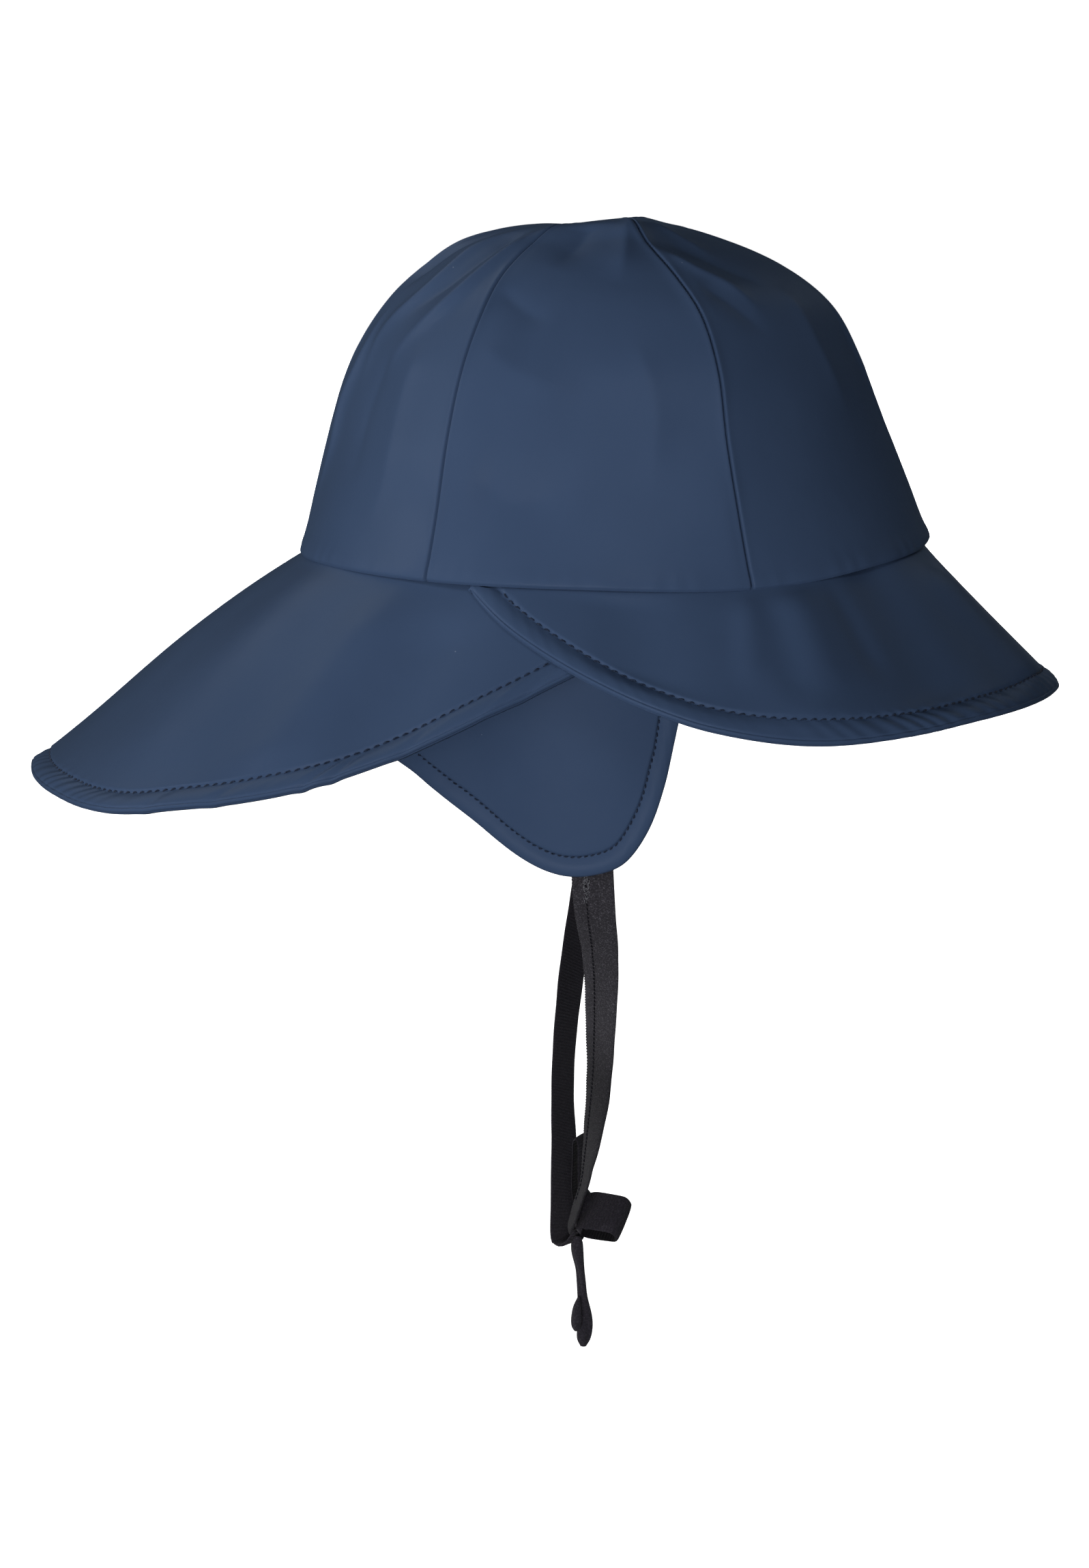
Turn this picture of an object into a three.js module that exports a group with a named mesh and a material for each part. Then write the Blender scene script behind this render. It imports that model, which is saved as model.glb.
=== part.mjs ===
import * as THREE from 'three';

// A child's rain hat of coated cloth: a crown of six gores, a short front brim whose ends lie over a long
// back brim, an ear flap inside each side, and a ribbon chin strap tied in a half bow under the chin.
// Millimetres. +X points to the front of the hat, +Y to the wearer's left, +Z up. The origin is the centre
// of the head opening, level with the seam where the crown meets the brims.

// Driving sizes
const OPENING_LENGTH = 180;
const OPENING_WIDTH = 152;
const CROWN_WALL = 1.4;
const BRIM_WALL = 1.8;
const FLAP_WALL = 1.6;
const STRAP_WIDTH = 11.6;
const STRAP_WALL = 1.2;
const CLEARANCE = 0.4;

// Faces along and across each cloth piece, and along each ribbon.
const GORE_GRID = [8, 15];
const FRONT_BRIM_GRID = [48, 5];
const BACK_BRIM_GRID = [52, 8];
const FLAP_GRID = [18, 8];
const LEFT_STRAP_STEPS = 30;
const RIGHT_STRAP_STEPS = 24;
const LOOP_STEPS = 24;
const KNOT_STEPS = 8;
const TAIL_STEPS = 14;
const FOLD_STEPS = 6;
const FLAT_SIDES = 4;
const ROUND_SIDES = 10;

// Height of the seam round the head opening, by angle from the front.
const SEAM_LINE = [
  { angle: 0, height: 2.4 },
  { angle: 30, height: 0.8 },
  { angle: 60, height: -2.4 },
  { angle: 90, height: -1.6 },
  { angle: 120, height: -1.4 },
  { angle: 150, height: -1.0 },
  { angle: 180, height: -2.4 },
];

// The brims and flaps are sewn in just inside and under the crown's edge.
const SEAM_INSET = 0.8;
const SEAM_DROP = 0.7;

// The gores, counted from the front towards the left.
const GORE_NAMES = [
  'crown_gore_front_left',
  'crown_gore_side_left',
  'crown_gore_back_left',
  'crown_gore_back_right',
  'crown_gore_side_right',
  'crown_gore_front_right',
];

// Half the angle that one gore covers round the opening, in degrees.
const GORE_HALF_ANGLE = 30;

// Crown seams by level, from the brim seam (0) to the crown's middle (8). The front and back seams lie in
// the plane of symmetry.
const MIDDLE_SEAMS = [
  { level: 0, frontX: 91.0, frontZ: 0.0, backX: -89.6, backZ: 0.0 },
  { level: 1, frontX: 85.0, frontZ: 17.0, backX: -85.8, backZ: 17.0 },
  { level: 2, frontX: 77.1, frontZ: 38.0, backX: -80.4, backZ: 37.0 },
  { level: 3, frontX: 70.3, frontZ: 56.0, backX: -74.0, backZ: 55.0 },
  { level: 4, frontX: 62.8, frontZ: 69.4, backX: -64.8, backZ: 69.6 },
  { level: 5, frontX: 50.5, frontZ: 79.5, backX: -54.5, backZ: 79.6 },
  { level: 6, frontX: 34.4, frontZ: 87.0, backX: -42.0, backZ: 87.8 },
  { level: 7, frontX: 15.4, frontZ: 91.9, backX: -22.0, backZ: 91.8 },
  { level: 8, frontX: -2.0, frontZ: 89.5, backX: -4.0, backZ: 89.5 },
];

// The fore and aft seams, the two on each side. The left ones sag a little lower.
const SIDE_SEAMS = [
  { level: 0, foreX: 44.6, foreZ: 0.0, aftX: -46.0, aftZ: 0.0, sideY: 65.8, sag: 0.0 },
  { level: 1, foreX: 41.2, foreZ: 17.0, aftX: -43.2, aftZ: 17.0, sideY: 64.0, sag: 0.0 },
  { level: 2, foreX: 37.2, foreZ: 38.0, aftX: -40.4, aftZ: 38.0, sideY: 60.5, sag: 0.0 },
  { level: 3, foreX: 34.4, foreZ: 56.0, aftX: -37.0, aftZ: 56.0, sideY: 55.0, sag: 0.5 },
  { level: 4, foreX: 29.2, foreZ: 70.5, aftX: -32.5, aftZ: 70.5, sideY: 47.0, sag: 1.0 },
  { level: 5, foreX: 21.4, foreZ: 80.5, aftX: -27.8, aftZ: 80.5, sideY: 38.0, sag: 1.6 },
  { level: 6, foreX: 12.4, foreZ: 89.0, aftX: -20.7, aftZ: 88.4, sideY: 27.5, sag: 2.2 },
  { level: 7, foreX: 6.4, foreZ: 95.4, aftX: -13.5, aftZ: 93.3, sideY: 18.0, sag: 2.6 },
  { level: 8, foreX: -2.5, foreZ: 89.5, aftX: -3.5, aftZ: 89.5, sideY: 0.9, sag: 0.0 },
];

// Bulge is how round a gore is between its seams: 1 is as round as the opening, and 0 is flat. Tilt is how
// far up it bulges.
const GORE_FORM = [
  { level: 0, bulge: 1.0, tilt: 0.0 },
  { level: 1, bulge: 0.72, tilt: 0.05 },
  { level: 2, bulge: 0.56, tilt: 0.12 },
  { level: 3, bulge: 0.5, tilt: 0.25 },
  { level: 4, bulge: 0.44, tilt: 0.4 },
  { level: 5, bulge: 0.34, tilt: 0.5 },
  { level: 6, bulge: 0.2, tilt: 0.5 },
  { level: 7, bulge: 0.1, tilt: 0.2 },
  { level: 8, bulge: 0.1, tilt: 0.0 },
];
const TOP_LEVEL = 8;
const CROWN_AXIS_X = -3;
const LEVEL_ABOVE_SEAM = 3;

// How steeply the brims fall away from the seam, in degrees below level, by angle from the front, and how
// far they bow up a third of the way down, where the bow's curve v(1 - v)(1 - v) is at its highest, 4/27.
const BRIM_FALL = [
  { angle: 0, slope: 45.3, bow: -0.2 },
  { angle: 30, slope: 47.8, bow: 0 },
  { angle: 60, slope: 50.3, bow: 0 },
  { angle: 90, slope: 51, bow: 0 },
  { angle: 120, slope: 49.5, bow: 0.4 },
  { angle: 150, slope: 43, bow: 1.2 },
  { angle: 180, slope: 37.7, bow: 2.2 },
];

// The front brim's hem from the middle of the front (share 0) to its end on the seam behind the ear (share
// 1): the angle from the front, and the reach down the slope.
const FRONT_END_ANGLE = 112;
const FRONT_HEM = [
  { share: 0, angle: 0, reach: 56.2 },
  { share: 0.12, angle: 14, reach: 54 },
  { share: 0.25, angle: 29, reach: 52.2 },
  { share: 0.37, angle: 42, reach: 51.2 },
  { share: 0.5, angle: 57, reach: 48.6 },
  { share: 0.62, angle: 71.5, reach: 42.2 },
  { share: 0.7, angle: 80.5, reach: 35.6 },
  { share: 0.78, angle: 88.5, reach: 28.2 },
  { share: 0.86, angle: 96.5, reach: 19.8 },
  { share: 0.93, angle: 104, reach: 11.2 },
  { share: 1, angle: 111, reach: 1.8 },
];

// The back brim's hem from the middle of the back (share 0) to its end on the seam before the ear (share 1).
const BACK_END_ANGLE = 66;
const BACK_HEM = [
  { share: 0, angle: 180, reach: 102.4 },
  { share: 0.08, angle: 172, reach: 100.2 },
  { share: 0.16, angle: 163, reach: 97.6 },
  { share: 0.23, angle: 155, reach: 95.4 },
  { share: 0.3, angle: 148.5, reach: 91.8 },
  { share: 0.38, angle: 141, reach: 84.3 },
  { share: 0.46, angle: 133, reach: 76.4 },
  { share: 0.54, angle: 125, reach: 67.6 },
  { share: 0.62, angle: 116.5, reach: 55.6 },
  { share: 0.7, angle: 108.5, reach: 45 },
  { share: 0.78, angle: 100, reach: 34.4 },
  { share: 0.86, angle: 91, reach: 24 },
  { share: 0.93, angle: 80, reach: 13 },
  { share: 1, angle: 67, reach: 1.8 },
];

// The back brim sinks under the front brim's end between these two angles.
const TUCK_START_ANGLE = 112;
const TUCK_END_ANGLE = 127;

// The ear flap hangs inside the brims, leaning in a little. Its top edge runs between two angles on the
// seam, and its free edge from the front corner (share 0) round the tip to the back corner (share 1). The
// left flap's edge swings back by a small angle, drawn by its strap.
const FLAP_INSET = 2.6;
const FLAP_DROP = 0.6;
const FLAP_LEAN = 8;
const FLAP_FRONT_ANGLE = 70;
const FLAP_BACK_ANGLE = 155;
const LEFT_FLAP_SWING = 4;
const FLAP_EDGE = [
  { share: 0, angle: 71.5, reach: 28 },
  { share: 0.1, angle: 73.3, reach: 43 },
  { share: 0.2, angle: 75.3, reach: 57 },
  { share: 0.3, angle: 78.6, reach: 70 },
  { share: 0.37, angle: 83.6, reach: 79.4 },
  { share: 0.44, angle: 91, reach: 83.2 },
  { share: 0.5, angle: 98, reach: 82.9 },
  { share: 0.58, angle: 106, reach: 78.2 },
  { share: 0.68, angle: 117.8, reach: 67 },
  { share: 0.78, angle: 128.5, reach: 57.6 },
  { share: 0.88, angle: 139.5, reach: 50 },
  { share: 1, angle: 151.5, reach: 30 },
];

// Straps, from the ear flap down to the knot: the middle line, the direction of the ribbon's width as a turn
// about the upright from straight ahead, and its width where the knot gathers it.
const STRAP_RIGHT = [
  { x: -0.5, y: -59.1, z: -67, turn: 0 },
  { x: -0.4, y: -56.9, z: -80, turn: -1 },
  { x: 0.1, y: -53, z: -96, turn: -9 },
  { x: 0.7, y: -45, z: -109.5, turn: -27 },
  { x: 0.5, y: -36.5, z: -124, turn: -39 },
  { x: -0.7, y: -27, z: -142, turn: -47 },
  { x: -1.9, y: -22, z: -155.5, turn: -53 },
  { x: -3.8, y: -16.5, z: -169, turn: -63 },
  { x: -5.3, y: -12, z: -178, turn: -71 },
  { x: -6.9, y: -8.8, z: -187, turn: -77 },
  { x: -9.4, y: -7.6, z: -195, turn: -77, width: 9.5 },
  { x: -11.4, y: -6.4, z: -201, turn: -77, width: 7 },
];
const STRAP_LEFT = [
  { x: -5.6, y: 58.9, z: -67, turn: 1 },
  { x: -6.4, y: 56.9, z: -80, turn: 4 },
  { x: -8.2, y: 52.2, z: -96, turn: 28 },
  { x: -11.0, y: 45, z: -109.5, turn: 48 },
  { x: -14.3, y: 35, z: -129, turn: 58 },
  { x: -15.4, y: 28.5, z: -143, turn: 61 },
  { x: -15.9, y: 24, z: -156, turn: 63 },
  { x: -15.9, y: 19.5, z: -168, turn: 64 },
  { x: -15.2, y: 14, z: -179, turn: 62 },
  { x: -14.6, y: 9, z: -188, turn: 59 },
  { x: -14.1, y: 5, z: -197, turn: 56 },
  { x: -13.9, y: 3, z: -204.4, turn: 56 },
  { x: -13.4, y: 2.7, z: -206.4, turn: 56 },
  { x: -12.0, y: 1.7, z: -206.4, turn: 56 },
  { x: -11.5, y: 1.4, z: -204.4, turn: 56 },
  { x: -11.4, y: 1.3, z: -200.5, turn: 56 },
];

// The half bow. The knot, the tail and the tail's folded end are rolled ribbon, so they're round in section.
const KNOT = [
  { x: -7.8, y: 0.2, z: -190.6, width: 1.8, depth: 2.6 },
  { x: -7.7, y: 0.1, z: -192.4, width: 4.4, depth: 6.2 },
  { x: -7.7, y: 0, z: -196, width: 5.4, depth: 7.4 },
  { x: -7.8, y: -0.2, z: -200, width: 5.4, depth: 7 },
  { x: -7.9, y: -0.4, z: -202.6, width: 4.6, depth: 5.4 },
  { x: -8.0, y: -0.6, z: -204.4, width: 1.8, depth: 2.4 },
];
const TAIL = [
  { x: -9.2, y: -1.2, z: -204.8, width: 2.6, depth: 1.8 },
  { x: -9.6, y: -1.6, z: -206.4, width: 4.2, depth: 2.4 },
  { x: -9.5, y: -1.6, z: -209.5, width: 4.2, depth: 2.4 },
  { x: -8.8, y: -1.4, z: -214.5, width: 2.9, depth: 2 },
  { x: -8.4, y: -1.2, z: -219, width: 2.7, depth: 2 },
  { x: -8.1, y: -1, z: -223, width: 3, depth: 2 },
  { x: -7.4, y: -1, z: -228, width: 4, depth: 2.2 },
  { x: -7.3, y: -1, z: -232, width: 4.5, depth: 2.4 },
  { x: -7.7, y: -1, z: -236, width: 4.3, depth: 2.2 },
  { x: -7.8, y: -1, z: -238.4, width: 2, depth: 1.2 },
];
const TAIL_FOLD = [
  { x: -9.2, y: -2.6, z: -223.6, width: 1, depth: 0.8 },
  { x: -9.9, y: -2.9, z: -226.4, width: 2.3, depth: 1.6 },
  { x: -10.2, y: -3.1, z: -229.4, width: 2.7, depth: 1.8 },
  { x: -10.2, y: -3.0, z: -231.8, width: 2.2, depth: 1.6 },
  { x: -10.1, y: -2.9, z: -233, width: 0.8, depth: 0.8 },
];

// Each loop leaves the knot, runs out by its reach and comes back a gap away. Turn and pitch give the
// direction of the ribbon's width, and heading the way out, as a turn about that direction.
const BOW_LOOP = {
  x: -4.9,
  y: -1.6,
  z: -197.6,
  turn: 67,
  pitch: 44,
  heading: -1,
  reach: 9.9,
  gap: 4.4,
  width: 12,
};
const STANDING_LOOP = {
  x: -9.3,
  y: 2.0,
  z: -190,
  turn: 93,
  pitch: 0,
  heading: 90,
  reach: 15.4,
  gap: 1.9,
  width: 8,
};
const LOOP_OUTLINE = [
  { out: 0, off: -1 },
  { out: 0.45, off: -1 },
  { out: 0.84, off: -0.94 },
  { out: 0.97, off: -0.6 },
  { out: 1, off: 0 },
  { out: 0.97, off: 0.6 },
  { out: 0.84, off: 0.94 },
  { out: 0.45, off: 1 },
  { out: 0, off: 1 },
];

function radians(degrees) {
  return (degrees * Math.PI) / 180;
}

function smoothstep(from, to, at) {
  const t = THREE.MathUtils.clamp((at - from) / (to - from), 0, 1);
  return t * t * (3 - 2 * t);
}

// Value of a table's column at a place along its key column, on a smooth curve through the rows.
function along(rows, key, column, at) {
  const last = rows.length - 1;
  let i = 0;
  while (i < last - 1 && at > rows[i + 1][key]) i += 1;
  const slope = (j) => {
    const before = rows[Math.max(j - 1, 0)];
    const after = rows[Math.min(j + 1, last)];
    return (after[column] - before[column]) / (after[key] - before[key]);
  };
  const span = rows[i + 1][key] - rows[i][key];
  const t = THREE.MathUtils.clamp((at - rows[i][key]) / span, 0, 1);
  const rise = t * t * (3 - 2 * t);
  return (
    rows[i][column] * (1 - rise) +
    rows[i + 1][column] * rise +
    slope(i) * span * t * (1 - t) * (1 - t) -
    slope(i + 1) * span * t * t * (1 - t)
  );
}

// A point of the seam round the head opening, at an angle from the front.
function seamPoint(angle) {
  const a = radians(angle);
  const fromFront = Math.abs(THREE.MathUtils.euclideanModulo(angle + 180, 360) - 180);
  const height = along(SEAM_LINE, 'angle', 'height', fromFront);
  return new THREE.Vector3((OPENING_LENGTH / 2) * Math.cos(a), (OPENING_WIDTH / 2) * Math.sin(a), height);
}

// The level direction that points straight away from the opening there.
function seamOutward(angle) {
  const a = radians(angle);
  return new THREE.Vector3(Math.cos(a) / OPENING_LENGTH, Math.sin(a) / OPENING_WIDTH, 0).normalize();
}

// A closed thin wall: pointAt(u, v) is its outer side, for u and v from 0 to 1. The inner side lies a wall's
// thickness behind it. With facing -1 the outer side is seen with u running the other way.
function wallGeometry(pointAt, [columns, rows], wall, facing, settle = (normal) => normal) {
  const step = 1e-3;
  const outer = [];
  const inner = [];
  for (let j = 0; j <= rows; j += 1) {
    for (let i = 0; i <= columns; i += 1) {
      const u = i / columns;
      const v = j / rows;
      const across = pointAt(Math.min(u + step, 1), v).sub(pointAt(Math.max(u - step, 0), v));
      const down = pointAt(u, Math.min(v + step, 1)).sub(pointAt(u, Math.max(v - step, 0)));
      const normal = settle(across.cross(down).multiplyScalar(facing).normalize(), u, v);
      const point = pointAt(u, v);
      outer.push(point);
      inner.push(point.clone().addScaledVector(normal, -wall));
    }
  }
  const points = [...outer, ...inner];
  const sheet = outer.length;
  const at = (i, j) => j * (columns + 1) + i;
  const faces = [];
  const quad = (a, b, c, d) => {
    if (facing > 0) faces.push(a, b, c, a, c, d);
    else faces.push(a, c, b, a, d, c);
  };
  for (let j = 0; j < rows; j += 1) {
    for (let i = 0; i < columns; i += 1) {
      const [a, b, c, d] = [at(i, j), at(i + 1, j), at(i + 1, j + 1), at(i, j + 1)];
      quad(a, b, c, d);
      quad(sheet + d, sheet + c, sheet + b, sheet + a);
    }
  }
  const rim = (from, to) => quad(to, from, sheet + from, sheet + to);
  for (let i = 0; i < columns; i += 1) {
    rim(at(i, 0), at(i + 1, 0));
    rim(at(i + 1, rows), at(i, rows));
  }
  for (let j = 0; j < rows; j += 1) {
    rim(at(0, j + 1), at(0, j));
    rim(at(columns, j), at(columns, j + 1));
  }
  return meshGeometry(points, faces);
}

function meshGeometry(points, faces) {
  const geometry = new THREE.BufferGeometry();
  const positions = points.flatMap((point) => [point.x, point.y, point.z]);
  geometry.setAttribute('position', new THREE.Float32BufferAttribute(positions, 3));
  geometry.setIndex(faces);
  geometry.computeVertexNormals();
  return geometry;
}

// One of the six crown seams, counted from the front towards the left, at a level.
function crownSeam(index, level) {
  const middle = (column) => along(MIDDLE_SEAMS, 'level', column, level);
  const side = (column) => along(SIDE_SEAMS, 'level', column, level);
  const place = index % GORE_NAMES.length;
  if (place === 0) return new THREE.Vector3(middle('frontX'), 0, middle('frontZ'));
  if (place === 3) return new THREE.Vector3(middle('backX'), 0, middle('backZ'));
  const kind = place === 1 || place === 5 ? 'fore' : 'aft';
  const left = place < 3;
  const height = side(`${kind}Z`) - (left ? side('sag') : 0);
  return new THREE.Vector3(side(`${kind}X`), left ? side('sideY') : -side('sideY'), height);
}

// A gore of the crown. Between its seams the cloth bulges away from the crown's upright axis.
function crownGore(index) {
  const half = radians(GORE_HALF_ANGLE);
  const pointAt = (u, v) => {
    const level = v * TOP_LEVEL;
    const [from, to] = [crownSeam(index, level), crownSeam(index + 1, level)];
    const inset = CLEARANCE / 2 / from.distanceTo(to);
    const share = inset + u * (1 - 2 * inset);
    const angle = Math.atan((2 * share - 1) * Math.tan(half));
    const chord = from.lerp(to, share);
    const away = new THREE.Vector3(chord.x - CROWN_AXIS_X * v, chord.y, 0);
    away.z = along(GORE_FORM, 'level', 'tilt', level) * Math.hypot(away.x, away.y);
    const bulge = along(GORE_FORM, 'level', 'bulge', level) * (Math.cos(angle) / Math.cos(half) - 1);
    const point = chord.addScaledVector(away, bulge);
    const turn = (2 * index + 1) * GORE_HALF_ANGLE + THREE.MathUtils.radToDeg(angle);
    point.z += seamPoint(turn).z * (1 - smoothstep(0, LEVEL_ABOVE_SEAM, level));
    return point;
  };
  // Beside a seam the wall's thickness runs in the seam's own upright plane, so that two gores meet evenly.
  const settle = (normal, u, v) => {
    if (u > 0 && u < 1) return normal;
    const seam = crownSeam(index + u, v * TOP_LEVEL);
    const outward = new THREE.Vector3(seam.x - CROWN_AXIS_X, seam.y, 0).normalize();
    const sideways = new THREE.Vector3(-outward.y, outward.x, 0);
    return normal.addScaledVector(sideways, -normal.dot(sideways)).normalize();
  };
  return wallGeometry(pointAt, GORE_GRID, CROWN_WALL, 1, settle);
}

// A point of the brims: an angle from the front, a reach down the slope from the seam, and a lift off it.
function brimPoint(angle, reach, lift) {
  const slope = radians(along(BRIM_FALL, 'angle', 'slope', Math.abs(angle)));
  const outward = seamOutward(angle);
  const point = seamPoint(angle).addScaledVector(outward, -SEAM_INSET);
  point.addScaledVector(outward, reach * Math.cos(slope) + lift * Math.sin(slope));
  point.z += -SEAM_DROP - reach * Math.sin(slope) + lift * Math.cos(slope);
  return point;
}

// A brim from one end round to the other. Its columns fan from the seam to the hem.
function brim(hem, seamAngle, liftAt, grid, facing) {
  const pointAt = (u, v) => {
    const side = Math.sign(2 * u - 1) || 1;
    const share = Math.abs(2 * u - 1);
    const reach = along(hem, 'share', 'reach', share) * v;
    const angle = THREE.MathUtils.lerp(seamAngle(share), along(hem, 'share', 'angle', share), v);
    const bow = (27 / 4) * v * (1 - v) ** 2 * along(BRIM_FALL, 'angle', 'bow', angle);
    return brimPoint(side * angle, reach, liftAt(angle) + bow);
  };
  return wallGeometry(pointAt, grid, BRIM_WALL, facing);
}

function frontBrim() {
  return brim(FRONT_HEM, (share) => share * FRONT_END_ANGLE, () => 0, FRONT_BRIM_GRID, -1);
}

// How far the back brim lies under the level of the front brim, at an angle from the front.
function tuck(angle) {
  return (BRIM_WALL + CLEARANCE) * (1 - smoothstep(TUCK_START_ANGLE, TUCK_END_ANGLE, Math.abs(angle)));
}

function backBrim() {
  const seamAngle = (share) => 180 - share * (180 - BACK_END_ANGLE);
  return brim(BACK_HEM, seamAngle, (angle) => -tuck(angle), BACK_BRIM_GRID, 1);
}

// A point of an ear flap, at an angle from the front and a reach down from the seam.
function flapPoint(angle, reach) {
  const lean = radians(FLAP_LEAN);
  const inward = FLAP_INSET + tuck(angle) + reach * Math.sin(lean);
  const point = seamPoint(angle).addScaledVector(seamOutward(angle), -inward);
  point.z -= FLAP_DROP + reach * Math.cos(lean);
  return point;
}

function earFlap(side) {
  const pointAt = (u, v) => {
    const top = THREE.MathUtils.lerp(FLAP_FRONT_ANGLE, FLAP_BACK_ANGLE, u);
    const edge = along(FLAP_EDGE, 'share', 'angle', u) + (side > 0 ? LEFT_FLAP_SWING : 0);
    const angle = THREE.MathUtils.lerp(top, edge, v);
    return flapPoint(side * angle, along(FLAP_EDGE, 'share', 'reach', u) * v);
  };
  return wallGeometry(pointAt, FLAP_GRID, FLAP_WALL, -side);
}

// The direction of a ribbon's width, from its turn about the upright and its pitch above the level.
function widthDirection(turn, pitch) {
  const [t, p] = [radians(turn), radians(pitch)];
  return new THREE.Vector3(Math.cos(p) * Math.cos(t), Math.cos(p) * Math.sin(t), Math.sin(p));
}

// A closed strip along its rows of places, flat in section with four sides and round with more.
function strip(rows, sides, steps) {
  const plain = { turn: 0, pitch: 0, width: STRAP_WIDTH, depth: STRAP_WALL };
  const keyed = rows.map((row, index) => ({ ...plain, ...row, index }));
  const last = rows.length - 1;
  const value = (column, at) => along(keyed, 'index', column, THREE.MathUtils.clamp(at, 0, last));
  const middle = (at) => new THREE.Vector3(value('x', at), value('y', at), value('z', at));
  const corner = sides === FLAT_SIDES ? Math.SQRT2 : 1;
  const points = [];
  for (let i = 0; i <= steps; i += 1) {
    const at = (i / steps) * last;
    const forward = middle(at + 0.01).sub(middle(at - 0.01)).normalize();
    const across = widthDirection(value('turn', at), value('pitch', at));
    across.addScaledVector(forward, -across.dot(forward)).normalize();
    const through = forward.clone().cross(across);
    const halfWidth = (corner * value('width', at)) / 2;
    const halfDepth = (corner * value('depth', at)) / 2;
    for (let k = 0; k < sides; k += 1) {
      const angle = ((k + 0.5) * 2 * Math.PI) / sides;
      const point = middle(at).addScaledVector(across, halfWidth * Math.cos(angle));
      points.push(point.addScaledVector(through, halfDepth * Math.sin(angle)));
    }
  }
  const faces = [];
  for (let i = 0; i < steps; i += 1) {
    for (let k = 0; k < sides; k += 1) {
      const [a, b] = [i * sides + k, i * sides + ((k + 1) % sides)];
      faces.push(a, b, b + sides, a, b + sides, a + sides);
    }
  }
  const end = steps * sides;
  for (let k = 1; k < sides - 1; k += 1) {
    faces.push(0, k + 1, k);
    faces.push(end, end + k, end + k + 1);
  }
  return meshGeometry(points, faces);
}

// A loop of ribbon, out from the knot and back.
function loop(shape) {
  const across = widthDirection(shape.turn, shape.pitch);
  const level = new THREE.Vector3(Math.sin(radians(shape.turn)), -Math.cos(radians(shape.turn)), 0);
  const way = level.applyAxisAngle(across, radians(-shape.heading));
  const off = way.clone().cross(across);
  const rows = LOOP_OUTLINE.map((place) => {
    const point = new THREE.Vector3(shape.x, shape.y, shape.z);
    point.addScaledVector(way, place.out * shape.reach);
    point.addScaledVector(off, (place.off * shape.gap) / 2);
    return { ...shape, x: point.x, y: point.y, z: point.z };
  });
  return strip(rows, FLAT_SIDES, LOOP_STEPS);
}

function piece(name, geometry, material) {
  const mesh = new THREE.Mesh(geometry, material);
  mesh.name = name;
  return mesh;
}

const coatedCloth = () => new THREE.MeshStandardMaterial({ color: 0x38455d, roughness: 0.5 });
const blackWebbing = () => new THREE.MeshStandardMaterial({ color: 0x2b2a2e, roughness: 0.95 });

const hat = new THREE.Group();
GORE_NAMES.forEach((name, index) => hat.add(piece(name, crownGore(index), coatedCloth())));
hat.add(piece('front_brim', frontBrim(), coatedCloth()));
hat.add(piece('back_brim', backBrim(), coatedCloth()));
hat.add(piece('ear_flap_left', earFlap(1), coatedCloth()));
hat.add(piece('ear_flap_right', earFlap(-1), coatedCloth()));
hat.add(piece('chin_strap_left', strip(STRAP_LEFT, FLAT_SIDES, LEFT_STRAP_STEPS), blackWebbing()));
hat.add(piece('chin_strap_right', strip(STRAP_RIGHT, FLAT_SIDES, RIGHT_STRAP_STEPS), blackWebbing()));
hat.add(piece('strap_knot', strip(KNOT, ROUND_SIDES, KNOT_STEPS), blackWebbing()));
hat.add(piece('bow_loop', loop(BOW_LOOP), blackWebbing()));
hat.add(piece('standing_loop', loop(STANDING_LOOP), blackWebbing()));
hat.add(piece('strap_tail', strip(TAIL, ROUND_SIDES, TAIL_STEPS), blackWebbing()));
hat.add(piece('tail_fold', strip(TAIL_FOLD, ROUND_SIDES, FOLD_STEPS), blackWebbing()));

export default hat;
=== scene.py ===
"""A child's rain hat of navy coated cloth, with a chin strap of black ribbon tied in a half bow.

Lengths are in millimetres until a piece is made, and angles in degrees. +X is the front of the hat, +Y the
wearer's left and +Z up. The origin is the middle of the head opening.
"""

import bpy
import numpy as np
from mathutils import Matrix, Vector


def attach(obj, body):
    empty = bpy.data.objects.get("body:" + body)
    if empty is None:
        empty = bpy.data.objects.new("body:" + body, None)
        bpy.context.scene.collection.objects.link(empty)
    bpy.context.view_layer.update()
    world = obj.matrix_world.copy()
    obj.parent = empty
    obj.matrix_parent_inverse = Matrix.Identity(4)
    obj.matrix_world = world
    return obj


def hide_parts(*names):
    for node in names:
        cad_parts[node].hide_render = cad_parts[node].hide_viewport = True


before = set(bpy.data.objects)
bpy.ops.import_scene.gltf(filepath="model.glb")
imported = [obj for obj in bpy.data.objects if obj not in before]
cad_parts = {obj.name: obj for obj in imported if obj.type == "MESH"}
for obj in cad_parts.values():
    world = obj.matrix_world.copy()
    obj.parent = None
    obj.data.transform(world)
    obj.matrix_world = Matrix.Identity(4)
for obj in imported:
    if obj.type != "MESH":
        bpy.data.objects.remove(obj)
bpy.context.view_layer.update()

# The hat's sizes, the same as in the part's source.
OPENING_LENGTH = 180.0
OPENING_WIDTH = 152.0
CROWN_WALL = 1.4
BRIM_WALL = 1.8
FLAP_WALL = 1.6
CLEARANCE = 0.4
SEAM_INSET = 0.8
SEAM_DROP = 0.7
GORE_HALF_ANGLE = 30.0
CROWN_AXIS_X = -3.0
LEVEL_ABOVE_SEAM = 3.0
TOP_LEVEL = 8.0
FRONT_END_ANGLE = 112.0
BACK_END_ANGLE = 66.0
TUCK_START_ANGLE = 112.0
TUCK_END_ANGLE = 127.0
FLAP_INSET = 2.6
FLAP_DROP = 0.6
FLAP_LEAN = 8.0
FLAP_FRONT_ANGLE = 70.0
FLAP_BACK_ANGLE = 155.0
LEFT_FLAP_SWING = 4.0

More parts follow.
